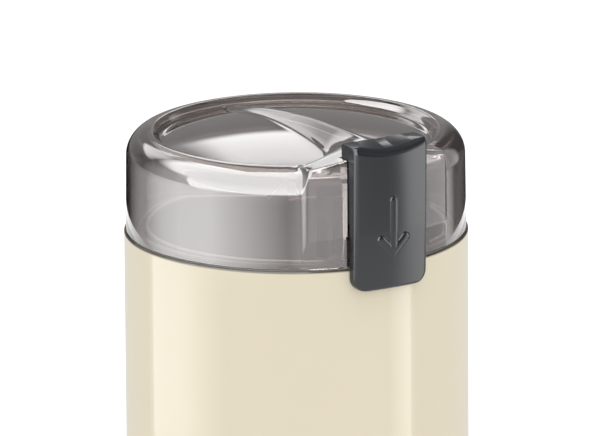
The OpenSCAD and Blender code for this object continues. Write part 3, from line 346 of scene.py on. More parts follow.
class Finish:
    """A material under construction: its nodes, links and shader."""

    def __init__(self, name):
        self.material = bpy.data.materials.new(name)
        self.material.use_nodes = True
        self.nodes = self.material.node_tree.nodes
        self.links = self.material.node_tree.links
        self.shader = self.nodes["Principled BSDF"]
        self.place = self.nodes.new("ShaderNodeTexCoord").outputs["Object"]

    def node(self, kind, inputs=None, **settings):
        """A node with its settings, and its inputs linked or set."""
        made = self.nodes.new(kind)
        for key, value in settings.items():
            setattr(made, key, value)
        for key, value in (inputs or {}).items():
            if isinstance(value, bpy.types.NodeSocket):
                self.links.new(value, made.inputs[key])
            else:
                made.inputs[key].default_value = value
        return made

    def only(self, surface):
        """The surface in place of the shader, for the stage."""
        self.nodes.remove(self.shader)
        self.links.new(surface, self.nodes["Material Output"].inputs["Surface"])

    def noise(self, size_mm, detail=3.0, place=None, stretch=(1, 1, 1)):
        """Noise with features of about the given size, as a value round 0.5."""
        mapping = self.node("ShaderNodeMapping", {"Vector": place or self.place, "Scale": stretch})
        inputs = {"Vector": mapping.outputs[0], "Scale": 1 / (size_mm * MM), "Detail": detail}
        return self.node("ShaderNodeTexNoise", inputs).outputs["Fac"]

    def blend(self, factor, rgb, spread):
        """The colour, darker and lighter by the share spread, by a value from 0 to 1."""
        ramp = self.node("ShaderNodeValToRGB", {"Fac": factor})
        shares = (1 - spread, 1 + spread)
        for element, position, share in zip(ramp.color_ramp.elements, NOISE_SPAN, shares):
            element.position = position
            element.color = (*(min(1.0, value * share) for value in rgb), 1)
        self.links.new(ramp.outputs[0], self.shader.inputs["Base Color"])
        return ramp.outputs[0]

    def roughness(self, factor, low, high):
        """Gloss that varies between two roughnesses."""
        span = {"From Min": NOISE_SPAN[0], "From Max": NOISE_SPAN[1], "To Min": low, "To Max": high}
        spread = self.node("ShaderNodeMapRange", {"Value": factor, **span})
        self.links.new(spread.outputs[0], self.shader.inputs["Roughness"])

    def bump(self, factor, depth_mm):
        """Relief in the skin, by a value from 0 to 1."""
        inputs = {"Height": factor, "Distance": depth_mm * MM, "Strength": 1.0}
        bump = self.node("ShaderNodeBump", inputs)
        self.links.new(bump.outputs[0], self.shader.inputs["Normal"])

    def rings(self):
        """Coordinates that stay the same round the axis, for marks left by turning and brushing."""
        parts = self.node("ShaderNodeSeparateXYZ", {"Vector": self.place})
        x2, y2 = (
            self.node("ShaderNodeMath", {0: side, 1: side}, operation="MULTIPLY").outputs[0]
            for side in (parts.outputs["X"], parts.outputs["Y"])
        )
        both = self.node("ShaderNodeMath", {0: x2, 1: y2}, operation="ADD").outputs[0]
        radius = self.node("ShaderNodeMath", {0: both}, operation="SQRT").outputs[0]
        return self.node("ShaderNodeCombineXYZ", {"X": radius, "Y": parts.outputs["Z"]}).outputs[0]


def moulded(name, rgb, rough, grain_mm=0.4, depth_mm=0.01, spread=0.03, play=0.04):
    """Moulded plastic or rubber: faint clouds in the colour, a fine grain and uneven gloss."""
    finish = Finish(name)
    finish.blend(finish.noise(14, 2.0), rgb, spread)
    grain = finish.noise(grain_mm, 4.0)
    finish.roughness(grain, rough - play, rough + play)
    finish.bump(grain, depth_mm)
    return finish.material


def metal(
    name, rgb, rough, stretch=(1, 1, 1), turned_marks=False, depth_mm=0.01, spread=0.08, grain_mm=0.3
):
    """Bare metal with brushing, turning or casting marks."""
    finish = Finish(name)
    place = finish.rings() if turned_marks else finish.place
    grain = finish.noise(grain_mm, 5.0, place, stretch)
    finish.blend(finish.noise(9, 2.0), rgb, spread)
    finish.roughness(grain, rough * 0.75, rough * 1.3)
    finish.bump(grain, depth_mm)
    finish.shader.inputs["Metallic"].default_value = 1.0
    if turned_marks:
        finish.shader.inputs["Anisotropic"].default_value = 0.8
        tangent = finish.node("ShaderNodeTangent", direction_type="RADIAL", axis="Z")
        finish.links.new(tangent.outputs[0], finish.shader.inputs["Tangent"])
    return finish.material


def layered(name, rgb, rough, pitch_mm, metallic, direction="Z", spread=0.25, depth_mm=0.06):
    """Stacked sheets or laid wire: bands of one pitch across the given axis."""
    finish = Finish(name)
    wave = finish.node(
        "ShaderNodeTexWave",
        {"Vector": finish.place, "Scale": math.pi / 10 / (pitch_mm * MM), "Distortion": 0.3, "Detail": 1.0},
        bands_direction=direction,
    ).outputs["Fac"]
    finish.blend(wave, rgb, spread)
    finish.roughness(finish.noise(0.8, 3.0), rough * 0.8, rough * 1.25)
    finish.bump(wave, depth_mm)
    finish.shader.inputs["Metallic"].default_value = metallic
    return finish.material


def smoked(name, rgb):
    """Clear smoky plastic with a polished skin."""
    finish = Finish(name)
    shader = finish.shader
    finish.blend(finish.noise(18, 2.0), rgb, 0.02)
    finish.roughness(finish.noise(6, 3.0), 0.025, 0.05)
    finish.bump(finish.noise(22, 2.0), 0.03)
    shader.inputs["Transmission Weight"].default_value = 0.95
    shader.inputs["IOR"].default_value = 1.49
    shader.inputs["Coat Weight"].default_value = 1.0
    shader.inputs["Coat IOR"].default_value = 1.8
    shader.inputs["Coat Roughness"].default_value = 0.02
    return finish.material


def glossy_cream(name, rgb):
    """Glossy moulded plastic with a faint flow, and a painted shadow line along its seam with the lid."""
    finish = Finish(name)
    tone = finish.blend(finish.noise(26, 2.0), rgb, 0.006)
    height = finish.node("ShaderNodeSeparateXYZ", {"Vector": finish.place}).outputs["Z"]
    # the colour turns dark just under the top edge: a painted shadow of the gap under the lid
    start, full = ((BODY_HIGH.z - under) * MM for under in SEAM_SHADOW_SPAN)
    edge = finish.node("ShaderNodeMapRange", {"Value": height, "From Min": start, "From Max": full})
    mixed = {"Factor": edge.outputs[0], "A": tone, "B": SEAM_SHADOW_TONE}
    shade = finish.node("ShaderNodeMix", mixed, data_type="RGBA")
    finish.links.new(shade.outputs["Result"], finish.shader.inputs["Base Color"])
    finish.roughness(finish.noise(3, 3.0), 0.07, 0.1)
    finish.bump(finish.noise(7, 2.0), 0.004)
    finish.shader.inputs["IOR"].default_value = 1.5
    return finish.material


FINISHES = {}
WELD_MM = 0.002  # corners of a CAD mesh this close are one


def finish_for(slot):
    """The finish of a record slot, made when it is first asked for."""
    if slot in FINISHES:
        return FINISHES[slot]
    tones = bpy.context.scene.grinder_colours
    makers = {
        "cream_plastic": lambda: glossy_cream("Cream plastic", tones.cream),
        "smoky_plastic": lambda: smoked("Smoky plastic", tones.smoke),
        "button_plastic": lambda: moulded(
            "Button plastic", tones.button, 0.17, 0.25, 0.002, 0.02, 0.02
        ),
        "anthracite_plastic": lambda: moulded(
            "Anthracite plastic", tones.anthracite, 0.5, 0.35, 0.012
        ),
        "grey_plastic": lambda: moulded("Grey plastic", tones.grey, 0.42),
        "white_plastic": lambda: moulded("White plastic", tones.white, 0.42),
        "black_rubber": lambda: moulded("Black rubber", tones.rubber, 0.8, 0.5, 0.03, 0.1),
        "zinc_steel": lambda: metal(
            "Zinc steel", tones.steel, 0.34, grain_mm=0.5, depth_mm=0.015
        ),
        "bowl_steel": lambda: metal(
            "Bowl steel", tones.steel, 0.36, turned_marks=True, depth_mm=0.0005, spread=0.03
        ),
        "blade_steel": lambda: metal(
            "Blade steel", tones.steel, 0.22, (0.05, 1, 1), depth_mm=0.008, spread=0.04
        ),
        "core_steel": lambda: layered("Core steel", tones.core, 0.45, 0.5, 1.0),
        "spring_steel": lambda: metal(
            "Spring steel", tones.steel, 0.2, grain_mm=0.2, depth_mm=0.004
        ),
        "enamel_copper": lambda: layered(
            "Enamel copper", tones.copper, 0.32, 0.45, 0.8, "DIAGONAL", 0.18
        ),
        "bronze": lambda: metal("Bronze", tones.bronze, 0.38, grain_mm=0.25, depth_mm=0.012),
        "cast_alloy": lambda: metal(
            "Cast alloy", tones.alloy, 0.5, grain_mm=0.7, depth_mm=0.05, spread=0.06
        ),
        "carbon": lambda: moulded("Carbon", tones.carbon, 0.62, 0.3, 0.02, 0.15),
        "yellow_film": lambda: moulded("Yellow film", tones.film, 0.22, 1.2, 0.02, 0.04),
        "blue_insulation": lambda: moulded(
            "Blue insulation", tones.insulation, 0.4, 0.6, 0.015, 0.05
        ),
    }
    FINISHES[slot] = makers[slot]()
    return FINISHES[slot]


def soft_shading():
    """A modifier group that joins the faces of a CAD mesh and shades its round parts smooth."""
    group = bpy.data.node_groups.get("Soft shading")
    if group:
        return group
    group = bpy.data.node_groups.new("Soft shading", "GeometryNodeTree")
    group.interface.new_socket("Geometry", in_out="INPUT", socket_type="NodeSocketGeometry")
    group.interface.new_socket("Geometry", in_out="OUTPUT", socket_type="NodeSocketGeometry")
    nodes, links = group.nodes, group.links
    start, end = nodes.new("NodeGroupInput"), nodes.new("NodeGroupOutput")
    plain = nodes.new("GeometryNodeRemoveAttribute")
    plain.inputs["Name"].default_value = "custom_normal"
    merge = nodes.new("GeometryNodeMergeByDistance")
    merge.inputs["Distance"].default_value = WELD_MM * MM
    faces = nodes.new("GeometryNodeSetShadeSmooth")
    edges = nodes.new("GeometryNodeSetShadeSmooth")
    edges.domain = "EDGE"
    edges.inputs["Shade Smooth"].default_value = False
    angle = nodes.new("GeometryNodeInputMeshEdgeAngle")
    sharp = nodes.new("FunctionNodeCompare")
    sharp.inputs["B"].default_value = math.radians(CREASE)
    all_edges = nodes.new("GeometryNodeSetShadeSmooth")
    all_edges.domain = "EDGE"
    links.new(angle.outputs["Unsigned Angle"], sharp.inputs["A"])
    links.new(sharp.outputs[0], edges.inputs["Selection"])
    chain = [start, plain, merge, faces, all_edges, edges, end]
    for one, two in zip(chain, chain[1:]):
        links.new(one.outputs[0], two.inputs[0])
    return group


def restyle(*names):
    """Gives CAD nodes that stay their finish and smooth shading."""
    for name in names:
        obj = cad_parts[name]
        for place in obj.material_slots:
            place.material = finish_for(place.material.name)
        obj.modifiers.new("Soft shading", "NODES").node_group = soft_shading()


# ---- Body ----

STEP_SLIP = 0.15   # gap round the carrier's flange
STEP_DEPTH = 1.85  # depth of the step that the flange sits in
EDGE_ROW = 0.3     # from a rounded edge to the row that keeps the wall's shading flat
INLET_RIM = 0.8    # how far the seat shows round the bush's collar
INLET_LIP = 1.8    # how far the collar covers the wall round the bore
INLET_ROOT = 0.4   # from the wall's inside to where the seat starts in it


def body_piece():
    """The housing: a turned wall with the round seat and the bore of the cord inlet behind."""
    s = sizes("grinder_body")
    radius, bottom, top, edge = s["radius"], s["bottom"], s["top"], s["edge"]
    inner = radius - s["wall"]
    step_r, step_z = box_mm("bowl_carrier")[1].x + STEP_SLIP, BODY_HIGH.z - STEP_DEPTH
    section = (
        [(inner, bottom)]
        + arc((radius - edge, bottom + edge), edge, -90, 0, 8)
        + [(radius, bottom + edge + EDGE_ROW), (radius, top - edge - EDGE_ROW)]
        + arc((radius - edge, top - edge), edge, 0, 90, 8)
        + [(step_r, top), (step_r, step_z), (inner, step_z)]
    )
    housing = turned("housing_shell", section, bpy.context.scene.grinder_stage.columns)
    gland_low, gland_high = box_mm("cord_gland")
    height = (gland_low.z + gland_high.z) / 2
    seat_r, bore_r = gland_high.x + INLET_RIM, gland_high.x - INLET_LIP
    shaped(
        housing,
        ("UNION", rod_back("seat", seat_r, inner + INLET_ROOT, BODY_HIGH.y, height)),
        ("DIFFERENCE", rod_back("bore", bore_r, inner - PAST, gland_high.y, height)),
    )
    return dressed(housing, "base", "cream_plastic", finish_for("cream_plastic"), "housing")


class GRINDER_OT_body(Operator):
    """Build the housing and finish the nodes that carry it"""

    bl_idname = "grinder.body"
    bl_label = "Build body"

    def execute(self, context):
        body_piece()
        restyle(
            "base_plate", "rubber_feet", "base_screws", "cord_gland", "bowl_carrier", "carrier_screws"
        )
        return {"FINISHED"}


# ---- Lid ----

class LidForm:
    """The lid's surfaces as heights over the seam at points in plan."""

    seam_lip = 0.25        # how far the wall's lower edge turns in
    wall_rows = (          # heights of the wall's rows, closer where the pad grows out of it
        0.25, 0.6, 1, 1.5, 2, 2.5, 3, 3.5, 4, 4.5, 5, 5.5, 6, 7, 8.5, 10, 12, 14, 16, 17.5,
    )
    shoulder_rows = 32     # rows of the round shoulder
    crest_half = 0.7       # half the width of the flat on the crest
    crest_round = 0.35     # how soft its edges are
    crest_fall_from = 15   # where the crest starts to fall toward the back
    crest_fall = 0.0027    # how fast it falls
    flank_slope = 1.15     # slope of the ridge's sides
    flare = (21, 35)       # where they start and end to flare out
    foot = 1.4             # width of the round at the ridge's foot
    crease_fill = 0.12     # how much the crease inside the rim is filled
    crease_reach = 0.5     # how far from the crease
    apex_r = 1.0           # radius of the innermost row
    pad_slope = 0.237      # slope of the ridge's sides at the pad
    pad_angle = 29.9       # half angle of the pad behind the button
    pad_edge = 2.2         # degrees over which its sides fall off
    pad_past = 0.2         # degrees that their foot lies past the angle
    pad_half = 19.7        # half the width of its top
    pad_corner = 26.0      # height of its top's corners
    pad_side = 2.9         # slope of its sides
    pad_soft = 0.4         # how soft the edge over them is
    pad_inset = 0.12       # how far the pad stands back from the body
    pad_fade = 6.0         # height over which the pad grows out of the wall
    pad_round = 0.6        # depth of its round top edge
    pad_turn = 0.4         # share of the shoulder's rows that go round that edge
    pad_melt = 0.3         # height over which its top melts into the rim
    inner_from = 16.1      # height where the inside starts to turn in
    inner_square = 0.367   # how full its corner is
    inner_crease = 0.6     # how far the inside's crease lies outside the outer one
    inner_bend = 1.6       # how late the inside falls to it
    rim_thin = 0.2         # how much thinner the rim is
    inner_lip = 0.2        # how far the wall's lower edge turns out inside
    under_round = 0.3      # radius under the ridge's crest
    under_end = (34, 38)   # where the hollow under the ridge ends, before the pad
    under_drop = 12        # how far its roof falls there

    def __init__(self):
        for key, value in sizes("grinder_lid").items():
            setattr(self, key, value)
        self.body_r = sizes("grinder_body")["radius"]
        self.top_r = self.radius - self.draft
        self.bore = self.radius - self.wall
        self.ring = self.top_r - self.shoulder
        self.rim = self.shoulder_height + self.shoulder
        self.valley_r = self.ring - self.valley_width
        self.valley_h = self.rim - self.valley_drop
        self.dome_h = self.valley_h + self.dome_rise
        self.pad_r = self.body_r - self.pad_inset

    def crest_at(self, s):
        """Height of the ridge's crest, s in front of the axis."""
        return self.crest - self.crest_fall * np.maximum(0, self.crest_fall_from - s) ** 2

    def flank_at(self, s):
        """Slope of the ridge's sides, s in front of the axis."""
        start, end = self.flare
        share = smooth((s - start) / (end - start))
        return self.flank_slope + (self.pad_slope - self.flank_slope) * share

    def roof(self, x, s):
        """The ridge's height, which falls off steeply at the sides of the pad."""
        beside = soft_over(np.abs(x) - self.crest_half, self.crest_round)
        flank = self.crest_at(s) - self.flank_at(s) * beside
        side = self.pad_corner - self.pad_side * (np.abs(x) - self.pad_half)
        return -soft_max(-flank, -side, self.pad_soft)

    def roof_inside(self, x, s):
        """Height of the hollow under the ridge, one wall below its sides."""
        flank = self.flank_at(s)
        top = self.crest_at(s) + flank * self.crest_half - self.wall * np.sqrt(1 + flank**2)
        start, end = self.under_end
        drop = self.under_drop * smooth((s - start) / (end - start))
        return top - flank * np.sqrt(x**2 + self.under_round**2) - drop

    def dome(self, r):
        """Height of the low dome inside the crease."""
        return self.dome_h - self.dome_rise * (r / self.valley_r) ** 2

    def pad_share(self, a):
        """1 on the pad and 0 beside it, at angles in degrees from the front."""
        return smooth((self.pad_angle + self.pad_past - np.abs(a)) / self.pad_edge)

    def rim_height(self, r):
        """Height of the plain shoulder at a radius."""
        out = np.maximum(r, self.ring) - self.ring
        return self.shoulder_height + np.sqrt(np.maximum(0, self.shoulder**2 - out**2))

    def over_ridge(self, r, h, sin_a, cos_a):
        """A ring of radius r at height h, raised where the ridge is higher."""
        roof = self.roof(r * sin_a, r * cos_a)
        return r + 0 * sin_a, soft_max(h + 0 * sin_a, roof, self.foot)

    def middle_radii(self, start):
        """Radii from a start in to the middle, closer at the start."""
        near = [start - step for step in (0, 0.25, 0.5, 0.8, 1.2, 1.8)]
        return near + list(np.linspace(near[-1], self.apex_r, 41)[1:])

    def pad_ring(self, t, wall_top, sin_a, cos_a):
        """Radius and heights of the pad's top, at an angle round the shoulder."""
        quarter = math.pi / 2
        corner = self.pad_r - self.pad_round
        turn = min(t / self.pad_turn, quarter)
        r = corner + self.pad_round * math.cos(turn)
        if turn == quarter:
            r = corner + (self.ring - corner) * (t / quarter - self.pad_turn) / (1 - self.pad_turn)
        top = self.roof(r * sin_a, r * cos_a)
        return r, wall_top + (top - wall_top) * math.sin(turn)

    def outside(self, columns):
        """Rings of the outside from the seam to the middle, as (radius, height) at each column."""
        pad = self.pad_share(columns)
        sin_a, cos_a = np.sin(np.radians(columns)), np.cos(np.radians(columns))
        roof_edge = self.roof(self.pad_r * sin_a, self.pad_r * cos_a) - self.pad_round
        wall_top = np.maximum(self.shoulder_height, roof_edge)
        rings = []
        for h in (*self.wall_rows, self.shoulder_height):
            base = self.radius - self.draft * h / self.shoulder_height
            full_r = base + (self.pad_r - base) * smooth(h / self.pad_fade)
            full_h = h * wall_top / self.shoulder_height
            rings.append((base + (full_r - base) * pad, h + (full_h - h) * pad))
        rings.insert(0, (rings[0][0] - self.seam_lip, 0 * columns))
        for t in np.linspace(0, math.pi / 2, self.shoulder_rows + 1)[1:]:
            round_r = self.ring + self.shoulder * math.cos(t)
            round_h = self.shoulder_height + self.shoulder * math.sin(t)
            plain_r, plain_h = self.over_ridge(round_r, round_h, sin_a, cos_a)
            full_r, full_h = self.pad_ring(t, wall_top, sin_a, cos_a)
            over = smooth((full_h - self.rim_height(full_r)) / self.pad_melt + 0.5) * pad
            rings.append((plain_r + (full_r - plain_r) * over, plain_h + (full_h - plain_h) * over))
        for u in np.linspace(0, 1, 13)[1:-1]:
            r, h = self.ring - self.valley_width * u, self.rim - self.valley_drop * smooth(u)
            rings.append(self.over_ridge(r, h, sin_a, cos_a))
        for r in self.middle_radii(self.valley_r):
            fill = self.crease_fill * max(0, 1 - abs(r - self.valley_r) / self.crease_reach) ** 2
            rings.append(self.over_ridge(r, self.dome(r) + fill, sin_a, cos_a))
        return rings, float(soft_max(self.dome_h, self.roof(0.0, 0.0), self.foot))

    def inside(self, columns):
        """Rings of the inside from the middle down to the seam."""
        sin_a, cos_a = np.sin(np.radians(columns)), np.cos(np.radians(columns))
        crease = self.valley_r + self.inner_crease
        rim_in = self.rim - self.wall + self.rim_thin
        drop = rim_in - (self.dome(crease) - self.wall)
        plain = [(r, self.dome(r) - self.wall) for r in self.middle_radii(crease)[::-1]]
        plain += [
            (self.ring - (self.ring - crease) * u, rim_in - drop * u**self.inner_bend)
            for u in (0.85, 0.7, 0.55, 0.4, 0.25, 0.1)
        ]
        plain += [
            (self.ring + (self.bore - self.ring) * math.cos(t) ** self.inner_square,
             self.inner_from + (rim_in - self.inner_from) * math.sin(t))
            for t in np.linspace(math.pi / 2, 0, 33)
        ]
        rings = []
        for r, h in plain:
            roof = self.roof_inside(r * sin_a, r * cos_a)
            rings.append((r + 0 * sin_a, soft_max(h + 0 * sin_a, roof, self.foot)))
        for h in (14, 8, 3, 0.2):
            rings.append((self.bore + 0 * sin_a, h + 0 * sin_a))
        rings.append((self.bore + self.inner_lip + 0 * sin_a, 0 * sin_a))
        apex = soft_max(self.dome_h - self.wall, self.roof_inside(0.0, 0.0), self.foot)
        return rings, float(apex)


def lid_columns(form):
    """Angles of the lid's columns, closer on the ridge and at the pad's edges."""
    edge = form.pad_angle
    half = np.concatenate([
        np.arange(0.2, 3.0, 0.2), np.arange(3.0, 8.0, 0.5), np.arange(8.0, edge - 1.6, 1.0),
        np.arange(edge - 1.4, edge + 0.7, 0.15), np.arange(edge + 1.2, 170.0, 1.5),
        np.arange(170.0, 179.9, 0.5),
    ])
    return np.concatenate([[0.0], half, [180.0], -half[::-1]])


SLOT_FOOT = 7.3      # height over the seam where the slot through the wall starts
SLOT_TOP = 19.8      # and where it ends
SLOT_BACK = 38.6     # distance of its back from the axis
POCKET_TOP = 8.3     # height of the shallow pocket that the face plate slides in
POCKET_SIDE = 0.8    # how much wider than the slot it is
POCKET_DEPTH = 0.7   # how deep it is
SLIP = 0.3           # gap between the button and the edges of its slot


def lid_piece():
    """The see-through lid: its outside and inside as one closed loft, then the button's slot."""
    form = LidForm()
    columns = lid_columns(form)
    inside, low_apex = form.inside(columns)
    outside, high_apex = form.outside(columns)
    seam, reach = form.seam, form.body_r + PAST
    turn = np.radians(columns)
    points = [
        np.stack([r * np.sin(turn), -r * np.cos(turn), seam + h], -1) for r, h in inside + outside
    ]
    count, rows = len(columns), len(points)
    points.append(np.array([[0, 0, seam + low_apex], [0, 0, seam + high_apex]]))
    low, high, last = rows * count, rows * count + 1, (rows - 1) * count
    faces = grid_faces(rows, count)
    faces += [(low, (j + 1) % count, j) for j in range(count)]
    faces += [(last + j, last + (j + 1) % count, high) for j in range(count)]
    lid = new_object("lid_clear", np.concatenate(points), faces)
    s = sizes("grinder_button")
    half, back = s["half_width"] + SLIP, s["back"]
    side, pocket_r = half + POCKET_SIDE, form.pad_r - POCKET_DEPTH
    z0, z1 = seam - PAST, seam + POCKET_TOP
    pocket = shaped(
        block("pocket", -side, side, -reach, -back, z0, z1),
        ("DIFFERENCE", rod("pocket_back", pocket_r, z0 - PAST, z1 + PAST)),
    )
    foot, top, over = seam + SLOT_FOOT, seam + SLOT_TOP, seam + form.crest + PAST
    shaped(
        lid,
        ("DIFFERENCE", block("slot", -half, half, -reach, -SLOT_BACK, foot, top)),
        ("DIFFERENCE", block("slot_top", -half, half, -reach, SLIP - back, foot, over)),
        ("DIFFERENCE", pocket),
    )
    lid.visible_shadow = False
    return dressed(lid, "lid", "smoky_plastic", finish_for("smoky_plastic"), "lid_shell", crease=40)


class GRINDER_OT_lid(Operator):
    """Build the see-through lid with its ridge and pad"""

    bl_idname = "grinder.lid"
    bl_label = "Build lid"

    def execute(self, context):
        lid_piece()
        restyle("lid_guide")
        return {"FINISHED"}


# ---- Button ----

FACE_ROUND = 82.0    # radius of the face in plan
FOOT_ROUND = 0.6     # depth of the round at the face's foot
BACK_ROUND = 0.4     # depth of the round at the pad's back edges
DISH_FROM = 22.0     # height from which the rows sink into the finger dish
ARROW_TOP = 17.0     # height of the arrow's upper end over the seam
ARROW_TIP = 3.5      # height of its tip
ARROW_WING = 3.6     # width and height of each wing
ARROW_SIDE = 0.25    # how far right of the middle it stands
ARROW_GRID = 0.14    # spacing of the points that carry it
ARROW_SPAN = (1.8, 18.6, 5.32)  # heights and half width of that grid
FACE_LEAN = ((0, 0.4, 1), (0, 0.55, 1))  # shares of the height, and of the lean there
DISH_SOFT = 0.2      # how soft the dish's edge is
PLATE_BACK = 44.3    # radius of the plate's hollow back
WEB_BACK = 40.03     # back of the plate below the finger pad, clear of the spring
WEB_SPAN = (38.63, 44.6)  # back and front of the web that joins the plate and the flange
WEB_FOOT = 11.6      # height where it starts
WEB_TOP = 18.0       # height of the flange's top
FLANGE_FOOT = 7.5    # height of the flange's lower edge
FLANGE_HALF = 13.2   # half the width of the flange
GUIDE_RADII = (39.63, 41.03)  # back and front of the flange and the tongue, in the lid's guide
TONGUE_HALF = 4.6    # half the width of the tongue
TONGUE_DROP = 3.0    # how far it hangs below the seam
ARM = (2.5, 34.9, 40.2, 16.5)  # half width, ends and height of the arm over the spring
SPRING_TURNS = 6
SPRING_STEPS = 18    # rings of points along the wire in each turn


def segment_distance(x, z, x0, z0, x1, z1):
    """Distance of points from the line between two points."""
    dx, dz = x1 - x0, z1 - z0
    t = np.clip(((x - x0) * dx + (z - z0) * dz) / (dx * dx + dz * dz), 0, 1)
    return np.hypot(x - x0 - t * dx, z - z0 - t * dz)


def arrow_height(x, z, s):
    """How far the arrow pointing down stands out of the face at a point."""
    x = x - ARROW_SIDE
    shaft = segment_distance(x, z, 0, ARROW_TOP, 0, ARROW_TIP)
    wings = segment_distance(np.abs(x), z, 0, ARROW_TIP, ARROW_WING, ARROW_TIP + ARROW_WING)
    reach = np.minimum(shaft, wings)
    return s["relief"] * np.sqrt(1 - np.clip(reach / s["stroke"], 0, 1) ** 3)


def dish_depth(x, depth, s):
    """How far the top lies below its corners, at distances from the middle and from the axis."""
    half = s["half_width"] - s["edge"] / 2
    radius = (half**2 + s["dish"] ** 2) / (2 * s["dish"])
    share = (depth - s["back"]) / (s["top_face"] - s["back"])
    return soft_over(np.sqrt(radius**2 - x**2) - radius + s["dish"] * share, DISH_SOFT)


def row_heights(s):
    """Heights of the button's rows over the seam, closest where the arrow is."""
    top, edge, drop, corner = s["top"], s["top_edge"], s["drop"], s["corner"]
    quarter = np.linspace(0, math.pi / 2, 12)
    low, high, _ = ARROW_SPAN
    return np.unique(np.round(np.concatenate([
        corner * (1 - np.cos(quarter)) - drop, np.arange(corner - drop, low, 0.5),
        np.arange(low, high, ARROW_GRID), np.arange(high, top - edge, 0.7),
        top - edge * (1 - np.sin(quarter)),
    ]), 4))


def face_front(z, s):
    """Distance of the face from the axis at its middle: it leans out and rounds off at both ends."""
    up = z + s["drop"]
    lean = np.interp(up / (s["top"] + s["drop"]), *FACE_LEAN)
    front = s["foot_face"] + (s["top_face"] - s["foot_face"]) * lean
    front -= FOOT_ROUND * max(0.0, 1 - up / FOOT_ROUND) ** 2
    over = min(max(0.0, z - s["top"] + s["top_edge"]), s["top_edge"])
    return front - (s["top_edge"] - math.sqrt(s["top_edge"] ** 2 - over**2))


def button_rows(s):
    """Closed outlines of the button's body in plan, from its foot to its top."""
    half, top, corner, edge = s["half_width"], s["top"], s["corner"], s["edge"]
    grid = ARROW_SPAN[2]
    middle = np.arange(-grid, grid + 0.01, ARROW_GRID)
    turn = np.radians(np.linspace(0, 90, 9))[1:]
    rows = []
    for z in row_heights(s):
        into = max(0.0, corner - (z + s["drop"]))
        w = half - corner + math.sqrt(max(0.0, corner**2 - into**2))
        front, flat = face_front(z, s), w - edge
        sides = np.linspace(grid + 2 * ARROW_GRID, flat, 10)
        face_x = np.concatenate([-sides[::-1], middle, sides])
        face_s = front - FACE_ROUND + np.sqrt(FACE_ROUND**2 - face_x**2) + arrow_height(face_x, z, s)
        side_s = front - FACE_ROUND + math.sqrt(FACE_ROUND**2 - flat**2) - edge
        right_x, right_s = flat + edge * np.sin(turn), side_s + edge * np.cos(turn)
        x = np.concatenate([-right_x[::-1], face_x, right_x])
        depth = np.concatenate([right_s[::-1], face_s, right_s])
        back = np.interp(z, (WEB_TOP, WEB_TOP + 1), (WEB_BACK, s["back"]))
        rounds = np.abs(x / w) ** 16 + max(0.0, 1 - (top - z) / BACK_ROUND) ** 2
        back = back + BACK_ROUND * rounds
        x = np.concatenate([x, x[::-1]])
        depth = np.concatenate([depth, back[::-1]])
        share = np.clip((z - DISH_FROM) / (top - DISH_FROM), 0, 1)
        sink = dish_depth(np.clip(x, -half, half), depth, s) * share
        rows.append(np.stack([x, -depth, z - sink], -1))
    return np.array(rows)


def button_body(rows):
    """A closed loft over the rows, with strips from front to back over its foot and its top."""
    count, columns = rows.shape[:2]
    strip = [(j, columns - 1 - j, columns - 2 - j, j + 1) for j in range(columns // 2 - 1)]
    last = (count - 1) * columns
    top = [tuple(last + k for k in quad[::-1]) for quad in strip]
    return new_object("push_button", rows.reshape(-1, 3), grid_faces(count, columns) + strip + top)


def button_piece():
    """The slider button: face plate with its arrow, finger pad, web, flange, tongue and arm."""
    s = sizes("grinder_button")
    seam, half = sizes("grinder_lid")["seam"], s["half_width"]
    button = button_body(button_rows(s) + (0, 0, seam))
    web_z, top, flange_low = seam + WEB_FOOT, seam + WEB_TOP, seam + FLANGE_FOOT
    back, front = GUIDE_RADII
    web = shaped(
        block("web", -half, half, -WEB_SPAN[1], -WEB_SPAN[0], web_z, top),
        ("DIFFERENCE", rod("web_back", back, web_z - PAST, top + PAST)),
    )
    arm_half, arm_in, arm_out, arm_z = ARM
    shaped(
        button,
        ("DIFFERENCE", rod("plate_hollow", PLATE_BACK, seam - s["drop"] - PAST, web_z)),
        ("UNION", web),
        ("UNION", front_ring("flange", back, front, FLANGE_HALF, flange_low, top)),
        ("UNION", front_ring("tongue", back, front, TONGUE_HALF, seam - TONGUE_DROP, flange_low + 1)),
        ("UNION", block("arm", -arm_half, arm_half, -arm_out, -arm_in, seam + arm_z, top)),
    )
    return dressed(button, "button", "button_plastic", finish_for("button_plastic"), "button")


def coil_piece(name, body, node):
    """A coil spring in a node's place, wound from the foot to the top of the node's box."""
    s = sizes("grinder_button")
    low, high = box_mm(node)
    x, y = (low.x + high.x) / 2, (low.y + high.y) / 2
    wire, height = s["spring_wire"], high.z - low.z
    section = circle(wire, 8)
    rows = []
    for t in np.linspace(0, 1, SPRING_TURNS * SPRING_STEPS + 1):
        turn = 2 * math.pi * SPRING_TURNS * t
        r = s["spring_radius"] + section[:, 0]
        z = low.z + wire + (height - 2 * wire) * t - section[:, 1]
        rows.append(np.stack([x + r * math.cos(turn), y + r * math.sin(turn), z], -1))
    spring = capped(name, rows)
    dressed(spring, body, "spring_steel", finish_for("spring_steel"), node, crease=60.0)
    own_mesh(spring)


class GRINDER_OT_button(Operator):
    """Build the slider button with its raised arrow and its spring"""

    bl_idname = "grinder.button"
    bl_label = "Build button"

    def execute(self, context):
        button_piece()
        coil_piece("coil_under_button", "lid", "button_spring")
        return {"FINISHED"}


# ---- Bowl, blade and what is hidden ----

